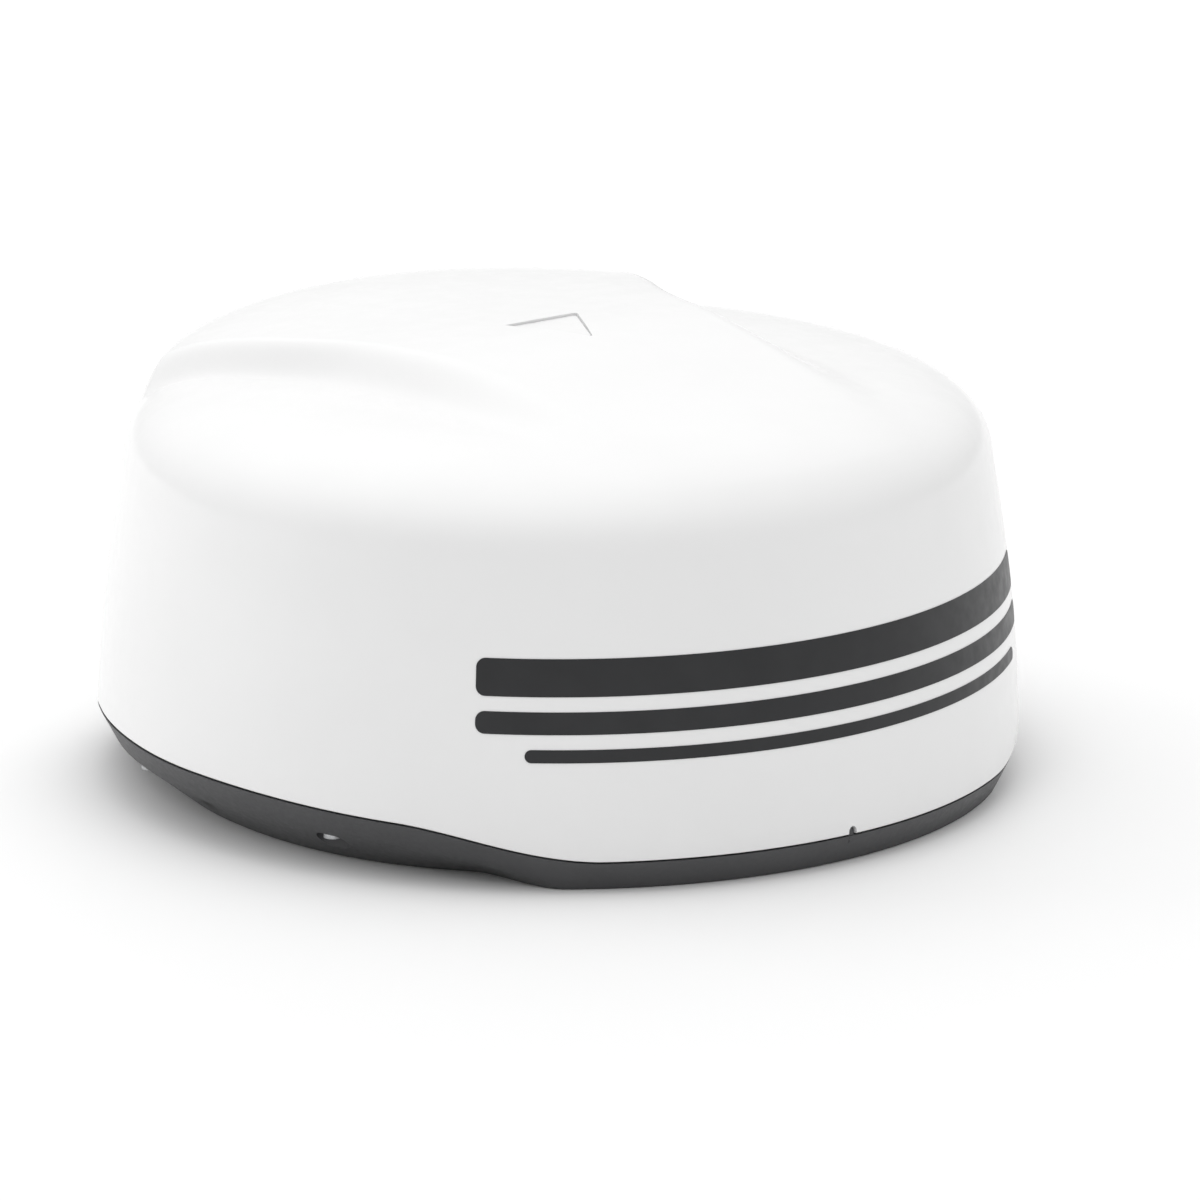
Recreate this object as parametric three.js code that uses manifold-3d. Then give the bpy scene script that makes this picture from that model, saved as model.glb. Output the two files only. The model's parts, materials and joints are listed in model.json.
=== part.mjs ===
// A marine radar dome antenna, as an assembly of its separate pieces.
// Millimetres, +Z up. The origin is on the antenna's axis of rotation, at the underside of the base.
// The bow of the boat is towards -Y, so the arrow on the dome points to -Y.
import * as THREE from "three";
import { mergeVertices } from "three/addons/utils/BufferGeometryUtils.js";
import Module from "manifold-3d";

const wasm = await Module();
wasm.setup();

// Driving dimensions: the dome
const AZIMUTH_STEPS = 60;
const DOME_RADIUS = 254.3; // at the lowest edge of the wall
const FRONT_PARTING_Z = 16.5; // height of the dome's edge at the bow
const PARTING_RISE_SHORT = 15.0; // the edge's first rise towards the sides
const PARTING_RISE_LONG = 8.3; // and the slow rise that goes on to the beam
const PARTING_RISE_QUARTER = 1.6; // the last rise, from the beam to the quarter
const WALL_HEIGHT = 160.2; // above the parting height at the bow
const WALL_INSET = 15.9; // how far the wall leans in by WALL_INSET_HEIGHT
const WALL_INSET_HEIGHT = 157.6;
const WALL_INSET_POWER = 1.8;
const ROOF_RISE = 49.2; // from the top of the wall to the shoulders' level
const ROOF_POWER_R = 5.32; // superellipse powers of the roof's profile
const ROOF_POWER_Z = 2.31;
const PLATEAU_HEIGHT = 22.1; // the raised middle over the shoulders' level
const PLATEAU_REAR = 19.9;
const PLATEAU_FRONT = 2.0;
const PLATEAU_CROWN = 2.14;
const PLATEAU_RIM_FADE = 217; // the raised middle fades out from this radius to the rim
const ARROW_DEPTH = 1.4;
const DOME_WALL = 4.4;
const PARTING_GAP = 1.0;

// Driving dimensions: the base
const BASE_RADIUS = 252.8;
const BAND_LOW_RADIUS_BOW = 245.3;
const BAND_LOW_RADIUS_BEAM = 242.0;
const FACET_START_DEG = 38; // the sloping facet starts here, measured from bow or stern
const FACET_TOP = 24.3; // height of the facet's upper edge at the beam
const FACET_FADE_DEG = 14;
const FOOT_RADIUS_BOW = 245.0;
const FOOT_RADIUS_BEAM = 217.5;
const FOOT_RADIUS_QUARTER = 213.0; // aft of the beam
const FLOOR = 4;
const LIP_HEIGHT = 5; // the lip that stands up inside the dome
const LIP_OUTER = 248.6;
const LIP_INNER = 245.6;
const GROOVE_OUTER = 251.0;
const GROOVE_DEPTH = 2.6;

// Driving dimensions: fasteners and sockets
const SCREW_RADIUS_PLACE = 232; // distance of the captive screws from the axis
const SCREW_AZIMUTHS = [69, 111, -111, -69]; // from the bow, positive towards +X
const SCREW_SHANK = 2.85;
const SCREW_HEAD = 5.3;
const SCREW_HEAD_LOW = 15;
const SCREW_HEAD_HIGH = 21;
const POCKET_LENGTH = 19;
const POCKET_WIDTH = 11.5;
const POCKET_CEILING = 21.4;
const NOTCH_RADIUS_PLACE = 228; // a plain notch in each facet, to prise the dome off
const NOTCH_AZIMUTHS = [93, -93];
const NOTCH_LENGTH = 17;
const NOTCH_WIDTH = 9;
const NOTCH_CEILING = 17;
const MOUNT_X = 116.5; // half of the 233 mm by 141.5 mm mounting pattern
const MOUNT_Y = 70.75;
const M8_RADIUS = 4;
const MOUNT_INSERT_RADIUS = 7;
const MOUNT_INSERT_TOP = 18;

// Driving dimensions: chassis, bearings and drive
const CHASSIS_RADIUS = 138;
const CHASSIS_LOW = 16.3;
const CHASSIS_TOP = 20.3;
const TOWER_RADIUS = 30;
const TOWER_TOP = 92;
const BEARING_OUTER = 21;
const BEARING_BORE = 10;
const BEARING_WIDTH = 12;
const LOWER_BEARING_Z = 40;
const UPPER_BEARING_Z = 78;
const SHAFT_RADIUS = 9.7;
const SHAFT_BORE = 5;
const SHAFT_LOW = 36;
const SHAFT_FLANGE_LOW = 108;
const SHAFT_TOP = 114;
const GEAR_MODULE = 2;
const GEAR_TEETH = 54;
const PINION_TEETH = 18;
const GEAR_LOW = 96;
const GEAR_HIGH = 104;
const MOTOR_AXIS_X = (GEAR_MODULE * (GEAR_TEETH + PINION_TEETH)) / 2 + 0.15;

// Driving dimensions: the antenna array
const ARRAY_HALF_LENGTH = 206;
const ARRAY_LOW = 130;
const ARRAY_HIGH = 184;
const ARRAY_FRONT = -24;
const ARRAY_BACK = -4.7;

// Driving dimensions: electronics
const CASE = { x0: -72, x1: 72, y0: 40, y1: 122, z0: 20.6, z1: 62, wall: 2.5 };
const FAN = { x: -87, y: 82, z: 40.6, size: 40, depth: 10, bore: 19 };
const RECESS = { x: 50, y0: 150, y1: 200, top: 28, wall: 4.5 };
const POWER_BOARD_Z = 32;
const BOARD_THICK = 1.6;
const GAP = 0.3;

// Materials
function finish(color, roughness, metalness) {
  return () => new THREE.MeshStandardMaterial({ color, roughness, metalness });
}

const gloss_white = finish(0xeceded, 0.22, 0);
const charcoal = finish(0x46474a, 0.5, 0);
const graphic_ink = finish(0x35373a, 0.45, 0);
const black_rubber = finish(0x161616, 0.8, 0);
const stainless = finish(0xb9bbbe, 0.3, 1);
const brass = finish(0xb08d4a, 0.35, 1);
const cast_aluminium = finish(0xa3a6a8, 0.5, 1);
const sheet_aluminium = finish(0xc2c5c8, 0.35, 1);
const bearing_steel = finish(0x8f9296, 0.25, 1);
const white_gear = finish(0xe6e2d6, 0.45, 0);
const black_plastic = finish(0x1c1d1f, 0.5, 0);
const circuit_green = finish(0x1d5b38, 0.45, 0);
const foam_white = finish(0xe9e7e0, 0.9, 0);
const magnet_grey = finish(0x3c3e42, 0.5, 0.6);

// Small helpers
const radians = THREE.MathUtils.degToRad;
const smooth = (from, to, x) => THREE.MathUtils.smoothstep(x, from, to);

// A closed geometry as a solid that can be cut and joined.
function solid(geometry) {
  const plain = geometry.clone();
  plain.deleteAttribute("normal");
  plain.deleteAttribute("uv");
  const merged = mergeVertices(plain, 1e-3);
  const mesh = new wasm.Mesh({
    numProp: 3,
    vertProperties: new Float32Array(merged.attributes.position.array),
    triVerts: new Uint32Array(merged.index.array),
  });
  return new wasm.Manifold(mesh);
}

// A solid back as a geometry with flat faces.
function geometryOf(body) {
  const mesh = body.getMesh();
  const geometry = new THREE.BufferGeometry();
  geometry.setAttribute("position", new THREE.BufferAttribute(mesh.vertProperties, 3));
  geometry.setIndex(new THREE.BufferAttribute(mesh.triVerts, 1));
  const flat = geometry.toNonIndexed();
  flat.computeVertexNormals();
  return flat;
}

const joined = (bodies) => bodies.reduce((all, body) => all.add(body));
const cut = (body, tools) => tools.reduce((rest, tool) => rest.subtract(tool), body);

// A box between two corners.
function block(x0, x1, y0, y1, z0, z1) {
  const box = new THREE.BoxGeometry(x1 - x0, y1 - y0, z1 - z0);
  return solid(box.translate((x0 + x1) / 2, (y0 + y1) / 2, (z0 + z1) / 2));
}

// An upright cylinder.
function upright(radius, z0, z1, x = 0, y = 0, sides = 20) {
  const cylinder = new THREE.CylinderGeometry(radius, radius, z1 - z0, sides);
  return solid(cylinder.rotateX(Math.PI / 2).translate(x, y, (z0 + z1) / 2));
}

// A cylinder along Y or X.
function lying(axis, radius, from, to, across, z, sides = 16) {
  const cylinder = new THREE.CylinderGeometry(radius, radius, to - from, sides);
  const middle = (from + to) / 2;
  if (axis === "y") return solid(cylinder.translate(across, middle, z));
  return solid(cylinder.rotateZ(Math.PI / 2).translate(middle, across, z));
}

// A turned piece: its profile is a list of [radius, z] that closes on the axis or on itself.
function turned(profile, sides = 24) {
  const points = profile.map(([r, z]) => new THREE.Vector2(r, z));
  return solid(new THREE.LatheGeometry(points, sides).rotateX(Math.PI / 2));
}

function tube(inner, outer, z0, z1, sides = 24) {
  const profile = [[inner, z0], [outer, z0], [outer, z1], [inner, z1], [inner, z0]];
  return turned(profile, sides);
}

// A flat outline, [x, y] points, as a plate from z0 to z1.
function plate(outline, z0, z1) {
  const shape = new THREE.Shape(outline.map(([x, y]) => new THREE.Vector2(x, y)));
  const settings = { depth: z1 - z0, bevelEnabled: false };
  return solid(new THREE.ExtrudeGeometry(shape, settings).translate(0, 0, z0));
}

// The place at a distance from the axis, at an angle from the bow.
function placeAt(radius, azimuth) {
  const angle = radians(azimuth);
  return [radius * Math.sin(angle), -radius * Math.cos(angle)];
}

// The angle from the bow, 0 to 180.
function angleFromBow(azimuth) {
  return Math.abs(THREE.MathUtils.euclideanModulo(azimuth + 180, 360) - 180);
}

// The angle from the bow or the stern, whichever is nearer: the outline is the same at both.
function foldedAzimuth(azimuth) {
  const turn = angleFromBow(azimuth);
  return turn > 90 ? 180 - turn : turn;
}

// A surface of rings. sections holds one list of [radius, z] for each azimuth step.
// Where closed is true each list closes on itself; otherwise it starts and ends on the axis.
function ringSolid(sectionAt, closed) {
  const positions = [];
  const triangles = [];
  const step = 360 / AZIMUTH_STEPS;
  const sections = Array.from({ length: AZIMUTH_STEPS }, (_, i) => sectionAt(i * step));
  const count = sections[0].length;
  sections.forEach((section, i) => {
    section.forEach(([radius, z]) => {
      const [x, y] = placeAt(radius, i * step);
      positions.push(x, y, z);
    });
  });
  const spans = closed ? count : count - 1;
  for (let i = 0; i < AZIMUTH_STEPS; i += 1) {
    const next = (i + 1) % AZIMUTH_STEPS;
    for (let j = 0; j < spans; j += 1) {
      const up = (j + 1) % count;
      const a = i * count + j;
      const b = next * count + j;
      const c = next * count + up;
      const d = i * count + up;
      triangles.push(a, b, c, a, c, d);
    }
  }
  const geometry = new THREE.BufferGeometry();
  geometry.setAttribute("position", new THREE.Float32BufferAttribute(positions, 3));
  geometry.setIndex(triangles);
  return solid(withoutSlivers(geometry));
}

// Drops the triangles that lost a side where a ring shrinks to a point.
function withoutSlivers(geometry) {
  const merged = mergeVertices(geometry, 1e-3);
  const index = merged.index.array;
  const kept = [];
  for (let i = 0; i < index.length; i += 3) {
    const [a, b, c] = [index[i], index[i + 1], index[i + 2]];
    if (a !== b && b !== c && a !== c) kept.push(a, b, c);
  }
  merged.setIndex(kept);
  return merged;
}

// The dome's lower edge, which rises in a wave from the bow to the quarter and drops to the stern.
function partingHeight(azimuth) {
  const angle = angleFromBow(azimuth);
  const first = PARTING_RISE_SHORT * smooth(32, 58, angle);
  const second = PARTING_RISE_LONG * smooth(40, 90, angle);
  const third = PARTING_RISE_QUARTER * smooth(88, 112, angle);
  const fall = 1 - smooth(118, 150, angle);
  return FRONT_PARTING_Z + (first + second + third) * fall;
}

function wallRadius(z) {
  const height = Math.max(z - FRONT_PARTING_Z, 0) / WALL_INSET_HEIGHT;
  return DOME_RADIUS - WALL_INSET * height ** WALL_INSET_POWER;
}

const WALL_TOP_Z = FRONT_PARTING_Z + WALL_HEIGHT;
const ROOF_RADIUS = wallRadius(WALL_TOP_Z);

// The roof's plain profile, before its raised middle.
function roofHeight(radius) {
  const share = 1 - (radius / ROOF_RADIUS) ** ROOF_POWER_R;
  return WALL_TOP_Z + ROOF_RISE * Math.max(share, 0) ** (1 / ROOF_POWER_Z);
}

// The slope at the side of the raised middle: [y, |x| at its top, |x| at its foot].
const PLATEAU_SIDES = [
  [-200, 70, 114],
  [-110, 75, 116],
  [-50, 81, 121],
  [0, 90, 122],
  [40, 100, 127],
  [75, 119, 141],
  [110, 132, 154],
  [150, 149, 166],
  [200, 167, 190],
];

function plateauSide(y) {
  const next = PLATEAU_SIDES.findIndex(([at]) => at >= y);
  if (next === 0) return PLATEAU_SIDES[0].slice(1);
  if (next < 0) return PLATEAU_SIDES[PLATEAU_SIDES.length - 1].slice(1);
  const [y0, top0, foot0] = PLATEAU_SIDES[next - 1];
  const [y1, top1, foot1] = PLATEAU_SIDES[next];
  const share = (y - y0) / (y1 - y0);
  return [top0 + (top1 - top0) * share, foot0 + (foot1 - foot0) * share];
}

// The raised middle of the roof: it leaves a lower shoulder on each side and slopes off to the bow.
function plateauHeight(x, y, radius) {
  const along = y > 0
    ? PLATEAU_HEIGHT + (PLATEAU_REAR - PLATEAU_HEIGHT) * smooth(0, 170, y)
    : PLATEAU_HEIGHT + (PLATEAU_FRONT - PLATEAU_HEIGHT) * smooth(0, 190, -y);
  const crown = PLATEAU_CROWN * (Math.min(Math.abs(x), 150) / 100) ** 2;
  const [top, foot] = plateauSide(y);
  const across = 1 - smooth(top, foot, Math.abs(x));
  const rim = 1 - smooth(PLATEAU_RIM_FADE, ROOF_RADIUS, radius);
  return Math.max(along - crown, 0) * across * rim;
}

// Points of the dome's section from its lower edge to the axis, sunk by a wall thickness.
function domeSection(azimuth, wallShares, roofRadii, sink) {
  const low = partingHeight(azimuth) + PARTING_GAP / 2;
  const wall = wallShares.map((share) => {
    const z = low + (WALL_TOP_Z - low) * share;
    return [wallRadius(z) - sink, z];
  });
  const roof = roofRadii.map((radius) => {
    const [x, y] = placeAt(radius, azimuth);
    const ahead = roofHeight(Math.max(radius - 1, 0));
    const slope = Math.atan2(ahead - roofHeight(radius + (radius ? 0 : 1)), 1);
    const z = roofHeight(radius) + plateauHeight(x, y, radius);
    return [Math.max(radius - sink * Math.sin(slope), 0), z - sink * Math.cos(slope)];
  });
  roof[roof.length - 1][0] = 0;
  return [...wall, ...roof];
}

const OUTER_WALL_SHARES = [0, 0.35, 0.7, 1];
const OUTER_ROOF_RADII = [236, 231, 222, 209, 192, 174, 157, 141, 125, 106, 84, 44, 0];
const INNER_WALL_SHARES = [0, 1];
const INNER_ROOF_RADII = [232, 218, 190, 150, 105, 50, 0];

function domeShell() {
  const sectionAt = (azimuth) => {
    const outer = domeSection(azimuth, OUTER_WALL_SHARES, OUTER_ROOF_RADII, 0);
    const inner = domeSection(azimuth, INNER_WALL_SHARES, INNER_ROOF_RADII, DOME_WALL);
    return [...inner.reverse(), ...outer];
  };
  return ringSolid(sectionAt, false);
}

// The sunk arrow on the roof, a triangle with round corners that points to the bow.
function arrowTool() {
  const half = 24.5;
  const rear = 15;
  const tip = -30;
  const shape = new THREE.Shape();
  shape.moveTo(-half + 4, rear);
  shape.lineTo(half - 4, rear);
  shape.quadraticCurveTo(half, rear, half - 2, rear - 4);
  shape.lineTo(2, tip + 3);
  shape.quadraticCurveTo(0, tip, -2, tip + 3);
  shape.lineTo(-half + 2, rear - 4);
  shape.quadraticCurveTo(-half, rear, -half + 4, rear);
  const top = WALL_TOP_Z + ROOF_RISE + PLATEAU_HEIGHT;
  const settings = { depth: ARROW_DEPTH + 5, bevelEnabled: false, curveSegments: 3 };
  return solid(new THREE.ExtrudeGeometry(shape, settings).translate(0, 0, top - ARROW_DEPTH));
}

// An upright arch at the bow: straight sides up to the shoulder, then a half circle.
function bowArch(half, low, shoulder, y0, y1) {
  const shape = new THREE.Shape();
  shape.moveTo(-half, low);
  shape.lineTo(half, low);
  shape.absarc(0, shoulder, half, 0, Math.PI, false);
  const settings = { depth: y1 - y0, bevelEnabled: false, curveSegments: 6 };
  const arch = new THREE.ExtrudeGeometry(shape, settings);
  return solid(arch.rotateX(Math.PI / 2).translate(0, y1, 0));
}

// The small arch in the dome's edge at the bow, for the base's locating tab.
function archTool() {
  const shoulder = FRONT_PARTING_Z + 2.2;
  return bowArch(2.6, FRONT_PARTING_Z - 2, shoulder, -DOME_RADIUS - 4, -LIP_OUTER - 0.7);
}

// One of the dome's four inside bosses, which take the captive screws, with its web to the wall.
function domeBoss(azimuth) {
  const [x, y] = placeAt(SCREW_RADIUS_PLACE, azimuth);
  const low = partingHeight(azimuth) + LIP_HEIGHT + 1.5;
  const high = low + 30;
  const reach = wallRadius(high) - DOME_WALL + 1.5;
  const web = new THREE.BoxGeometry(5, reach - SCREW_RADIUS_PLACE, high - low);
  web.translate(0, -(reach + SCREW_RADIUS_PLACE) / 2, (high + low) / 2);
  web.rotateZ(radians(azimuth));
  return upright(7, low, high, x, y, 16).add(solid(web));
}

function domeCover() {
  const bosses = SCREW_AZIMUTHS.map(domeBoss);
  const holes = SCREW_AZIMUTHS.map((azimuth) => {
    const [x, y] = placeAt(SCREW_RADIUS_PLACE, azimuth);
    const low = partingHeight(azimuth) + LIP_HEIGHT;
    return upright(4.8, low, low + 20, x, y, 12);
  });
  return cut(joined([domeShell(), ...bosses]), [...holes, arrowTool(), archTool()]);
}

// A brass insert in each of the dome's bosses.
function domeInsert(azimuth) {
  const [x, y] = placeAt(SCREW_RADIUS_PLACE, azimuth);
  const low = partingHeight(azimuth) + LIP_HEIGHT + 1.5;
  return cut(upright(4.5, low, low + 18, x, y, 12), [upright(3.2, low - 1, low + 19, x, y, 12)]);
}

function facetShare(azimuth) {
  const past = Math.max(foldedAzimuth(azimuth) - FACET_START_DEG, 0);
  return 1 - Math.exp(-past / FACET_FADE_DEG);
}

// The outer corners of the base's section: foot, facet top and rim.
function baseCorners(azimuth) {
  const share = facetShare(azimuth);
  const angle = foldedAzimuth(azimuth);
  const bandRadius = THREE.MathUtils.lerp(BAND_LOW_RADIUS_BOW, BAND_LOW_RADIUS_BEAM, share);
  const bandLow = THREE.MathUtils.lerp(0.8, FACET_TOP, share);
  const aft = smooth(60, 95, angleFromBow(azimuth));
  const narrow = THREE.MathUtils.lerp(FOOT_RADIUS_BEAM, FOOT_RADIUS_QUARTER, aft);
  const footRadius = THREE.MathUtils.lerp(FOOT_RADIUS_BOW, narrow, smooth(37, 50, angle));
  const rim = partingHeight(azimuth) - PARTING_GAP / 2;
  return { bandRadius, bandLow, footRadius: Math.min(footRadius, bandRadius - 0.3), rim };
}

function baseShellSection(azimuth) {
  const { bandRadius, bandLow, footRadius, rim } = baseCorners(azimuth);
  const innerRadius = bandRadius - 4;
  return [
    [0, 0],
    [footRadius, 0],
    [bandRadius, bandLow],
    [BASE_RADIUS, rim],
    [GROOVE_OUTER, rim],
    [GROOVE_OUTER, rim - GROOVE_DEPTH],
    [LIP_OUTER, rim - GROOVE_DEPTH],
    [LIP_OUTER, rim + LIP_HEIGHT],
    [LIP_INNER, rim + LIP_HEIGHT],
    [innerRadius, Math.max(bandLow + 3, FLOOR + 1)],
    [Math.min(footRadius - 3, innerRadius - 1), FLOOR],
    [0, FLOOR],
  ];
}

// The base as if it were full and a little smaller, to trim its inside bosses to the outline.
function baseFullSection(azimuth) {
  const { bandRadius, bandLow, footRadius, rim } = baseCorners(azimuth);
  const inset = 1.3;
  return [
    [0, 0.7],
    [footRadius - inset, 0.7],
    [bandRadius - inset, bandLow + 0.7],
    [BASE_RADIUS - 2 * inset, rim - 4],
    [LIP_INNER - 1, rim + LIP_HEIGHT - 1],
    [200, 45],
    [0, 60],
  ];
}

// The block over a pocket or notch.
function seatBlock(azimuth, radius, length, width, ceiling) {
  const top = ceiling + 3;
  const seat = new THREE.BoxGeometry(length + 7, width + 7.5, top - FLOOR);
  seat.translate(0, -radius, (top + FLOOR) / 2);
  seat.rotateZ(radians(azimuth));
  return solid(seat);
}

// The block and column that a captive screw passes through.
function screwColumn(azimuth) {
  const [x, y] = placeAt(SCREW_RADIUS_PLACE, azimuth);
  const size = [POCKET_LENGTH, POCKET_WIDTH, POCKET_CEILING];
  const seat = seatBlock(azimuth, SCREW_RADIUS_PLACE, ...size);
  const columnTop = partingHeight(azimuth) + LIP_HEIGHT - 1;
  return seat.add(upright(7.2, POCKET_CEILING, columnTop, x, y, 16));
}

// An oblong pocket that opens downwards, with its length along the rim.
function oblongPocket(azimuth, radius, length, width, ceiling) {
  const [x, y] = placeAt(radius, azimuth);
  const half = (length - width) / 2;
  const slot = new THREE.Shape();
  slot.absarc(half, 0, width / 2, -Math.PI / 2, Math.PI / 2, false);
  slot.absarc(-half, 0, width / 2, Math.PI / 2, (3 * Math.PI) / 2, false);
  const settings = { depth: ceiling + 1, bevelEnabled: false, curveSegments: 6 };
  const pocket = new THREE.ExtrudeGeometry(slot, settings);
  return solid(pocket.translate(0, 0, -1).rotateZ(radians(azimuth)).translate(x, y, 0));
}

// The pocket around a captive screw's head, with the screw's hole above it.
function screwPocket(azimuth) {
  const [x, y] = placeAt(SCREW_RADIUS_PLACE, azimuth);
  const hole = upright(SCREW_SHANK + 0.4, -1, 60, x, y, 12);
  const size = [POCKET_LENGTH, POCKET_WIDTH, POCKET_CEILING];
  return oblongPocket(azimuth, SCREW_RADIUS_PLACE, ...size).add(hole);
}

const MOUNT_PLACES = [
  [-MOUNT_X, -MOUNT_Y],
  [MOUNT_X, -MOUNT_Y],
  [MOUNT_X, MOUNT_Y],
  [-MOUNT_X, MOUNT_Y],
];

const CHASSIS_PLACES = [
  [-84, -84],
  [84, -84],
  [98, 84],
  [-98, 84],
];

const SOCKET_XS = [-24, 24];
const SOCKET_Z = 15;
const SOCKET_BODY = 8.5;
const VENT_Y = -150;

// The cast base: a dish with its rim, bosses, cable recess, screw pockets and locating tab.
function basePan() {
  const full = ringSolid(baseFullSection, false);
  const { x, y0, y1, top, wall } = RECESS;
  const notch = [NOTCH_LENGTH, NOTCH_WIDTH, NOTCH_CEILING];
  const added = joined([
    ...SCREW_AZIMUTHS.map(screwColumn),
    ...NOTCH_AZIMUTHS.map((azimuth) => seatBlock(azimuth, NOTCH_RADIUS_PLACE, ...notch)),
    ...MOUNT_PLACES.map(([bx, by]) => upright(12, 1, MOUNT_INSERT_TOP + 3, bx, by, 16)),
    ...CHASSIS_PLACES.map(([bx, by]) => upright(7, 1, CHASSIS_LOW - GAP, bx, by, 12)),
    block(-x - wall, x + wall, y0 - wall, y1 + wall, 1, top + wall),
  ]);
  const holes = [
    ...SCREW_AZIMUTHS.map(screwPocket),
    ...NOTCH_AZIMUTHS.map((azimuth) => oblongPocket(azimuth, NOTCH_RADIUS_PLACE, ...notch)),
    ...MOUNT_PLACES.map(([bx, by]) => {
      return upright(MOUNT_INSERT_RADIUS + GAP, -1, MOUNT_INSERT_TOP + GAP, bx, by, 16);
    }),
    ...CHASSIS_PLACES.map(([bx, by]) => upright(2.4, 6, CHASSIS_LOW + 1, bx, by, 10)),
    block(-x, x, y0, y1, -1, top),
    ...SOCKET_XS.map((sx) => lying("y", SOCKET_BODY + GAP, y0 - 8, y0 + 3, sx, SOCKET_Z)),
    upright(5.3, -1, FLOOR + 1, 0, VENT_Y, 14),
  ];
  const shell = ringSolid(baseShellSection, false).add(full.intersect(added)).add(locatingTab());
  return cut(shell, holes);
}

// The tab that stands in the dome's arch.
function locatingTab() {
  const y0 = -BASE_RADIUS + 0.2;
  return bowArch(1.9, FRONT_PARTING_Z - 2.7, FRONT_PARTING_Z + 1.8, y0, y0 + 1.4);
}

// The gasket cord in the base's groove.
function domeGasket() {
  const inner = LIP_OUTER + GAP;
  const outer = GROOVE_OUTER - GAP;
  const sectionAt = (azimuth) => {
    const rim = partingHeight(azimuth) - PARTING_GAP / 2;
    const low = rim - GROOVE_DEPTH + GAP;
    const high = rim + PARTING_GAP - GAP;
    return [[inner, low], [outer, low], [outer, high], [inner, high]];
  };
  return ringSolid(sectionAt, true);
}

// A captive screw: head with its hex socket, and a long shank up into the dome's insert.
function captiveScrew(azimuth) {
  const [x, y] = placeAt(SCREW_RADIUS_PLACE, azimuth);
  const tip = partingHeight(azimuth) + LIP_HEIGHT + 16;
  const head = upright(SCREW_HEAD, SCREW_HEAD_LOW, SCREW_HEAD_HIGH, x, y, 16);
  const shank = upright(SCREW_SHANK, SCREW_HEAD_HIGH - 1, tip, x, y, 12);
  const socket = upright(2.9, SCREW_HEAD_LOW - 1, SCREW_HEAD_LOW + 3.5, x, y, 6);
  return cut(head.add(shank), [socket]);
}

// A threaded insert for the M8 mounting bolts.
function mountInsert([x, y]) {
  const outer = upright(MOUNT_INSERT_RADIUS, GAP, MOUNT_INSERT_TOP, x, y, 16);
  return cut(outer, [upright(M8_RADIUS, -1, MOUNT_INSERT_TOP - 2, x, y, 12)]);
}

function chassisScrew([x, y]) {
  const head = upright(4, CHASSIS_TOP + GAP, CHASSIS_TOP + 3.3, x, y, 12);
  return head.add(upright(2, 8, CHASSIS_TOP + 1, x, y, 10));
}

// A round bulkhead socket on the recess's wall, with its flange and open barrel to the stern.
function bulkheadSocket(x, barrel, bore) {
  const wall = RECESS.y0;
  const shape = joined([
    lying("y", SOCKET_BODY, wall - 9, wall + 4, x, SOCKET_Z),
    lying("y", 12, wall + GAP, wall + 3, x, SOCKET_Z),
    lying("y", barrel, wall + 2, wall + 16, x, SOCKET_Z),
  ]);
  return cut(shape, [lying("y", bore, wall + 5, wall + 18, x, SOCKET_Z)]);
}

function breatherVent() {
  const profile = [[0, 0.3], [4.5, 0.3], [4.5, 4.6], [8, 4.6], [8, 7.5], [5, 9.5], [0, 9.5]];
  return turned(profile, 14).translate([0, VENT_Y, 0]);
}

// The cast chassis: a ribbed round plate with the bearing tower in its middle.
function chassisFrame() {
  const shoulder = BEARING_OUTER - 3;
  const seat = BEARING_OUTER + GAP;
  const lower = [LOWER_BEARING_Z - GAP, LOWER_BEARING_Z + BEARING_WIDTH + GAP];
  const tower = turned([
    [shoulder, CHASSIS_LOW],
    [TOWER_RADIUS + 8, CHASSIS_LOW],
    [TOWER_RADIUS + 8, CHASSIS_TOP + 2],
    [TOWER_RADIUS, CHASSIS_TOP + 12],
    [TOWER_RADIUS, TOWER_TOP],
    [seat, TOWER_TOP],
    [seat, UPPER_BEARING_Z - GAP],
    [shoulder, UPPER_BEARING_Z - GAP],
    [shoulder, lower[1]],
    [seat, lower[1]],
    [seat, lower[0]],
    [shoulder, lower[0]],
    [shoulder, CHASSIS_LOW],
  ]);
  const floor = tube(TOWER_RADIUS, CHASSIS_RADIUS, CHASSIS_LOW, CHASSIS_TOP, 36);
  const holes = [
    ...CHASSIS_PLACES.map(([x, y]) => upright(2.4, 10, 30, x, y, 10)),
    ...MOUNT_PLACES.map(([x, y]) => upright(13, 10, 30, x, y, 16)),
    block(-5.5, 5.5, 14, 50, CHASSIS_TOP + 1.2, CHASSIS_TOP + 11.2),
  ];
  return cut(floor.add(tower), holes);
}

// Bearing rings: the seals belong to the outer ring, and the inner ring turns with the shaft.
function bearingOuter(z) {
  return tube(BEARING_BORE + 5.5, BEARING_OUTER, z, z + BEARING_WIDTH);
}

function bearingInner(z) {
  return tube(BEARING_BORE, BEARING_BORE + 5, z, z + BEARING_WIDTH);
}

// The circlip that holds the lower bearing on the shaft, with its gap.
function bearingCirclip() {
  const inner = SHAFT_RADIUS - 1.2;
  const outer = SHAFT_RADIUS + 2.6;
  const gap = block(-2.5, 2.5, -outer - 2, 0, SHAFT_LOW, LOWER_BEARING_Z);
  return cut(tube(inner, outer, LOWER_BEARING_Z - 2, LOWER_BEARING_Z - 0.6, 20), [gap]);
}

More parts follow.
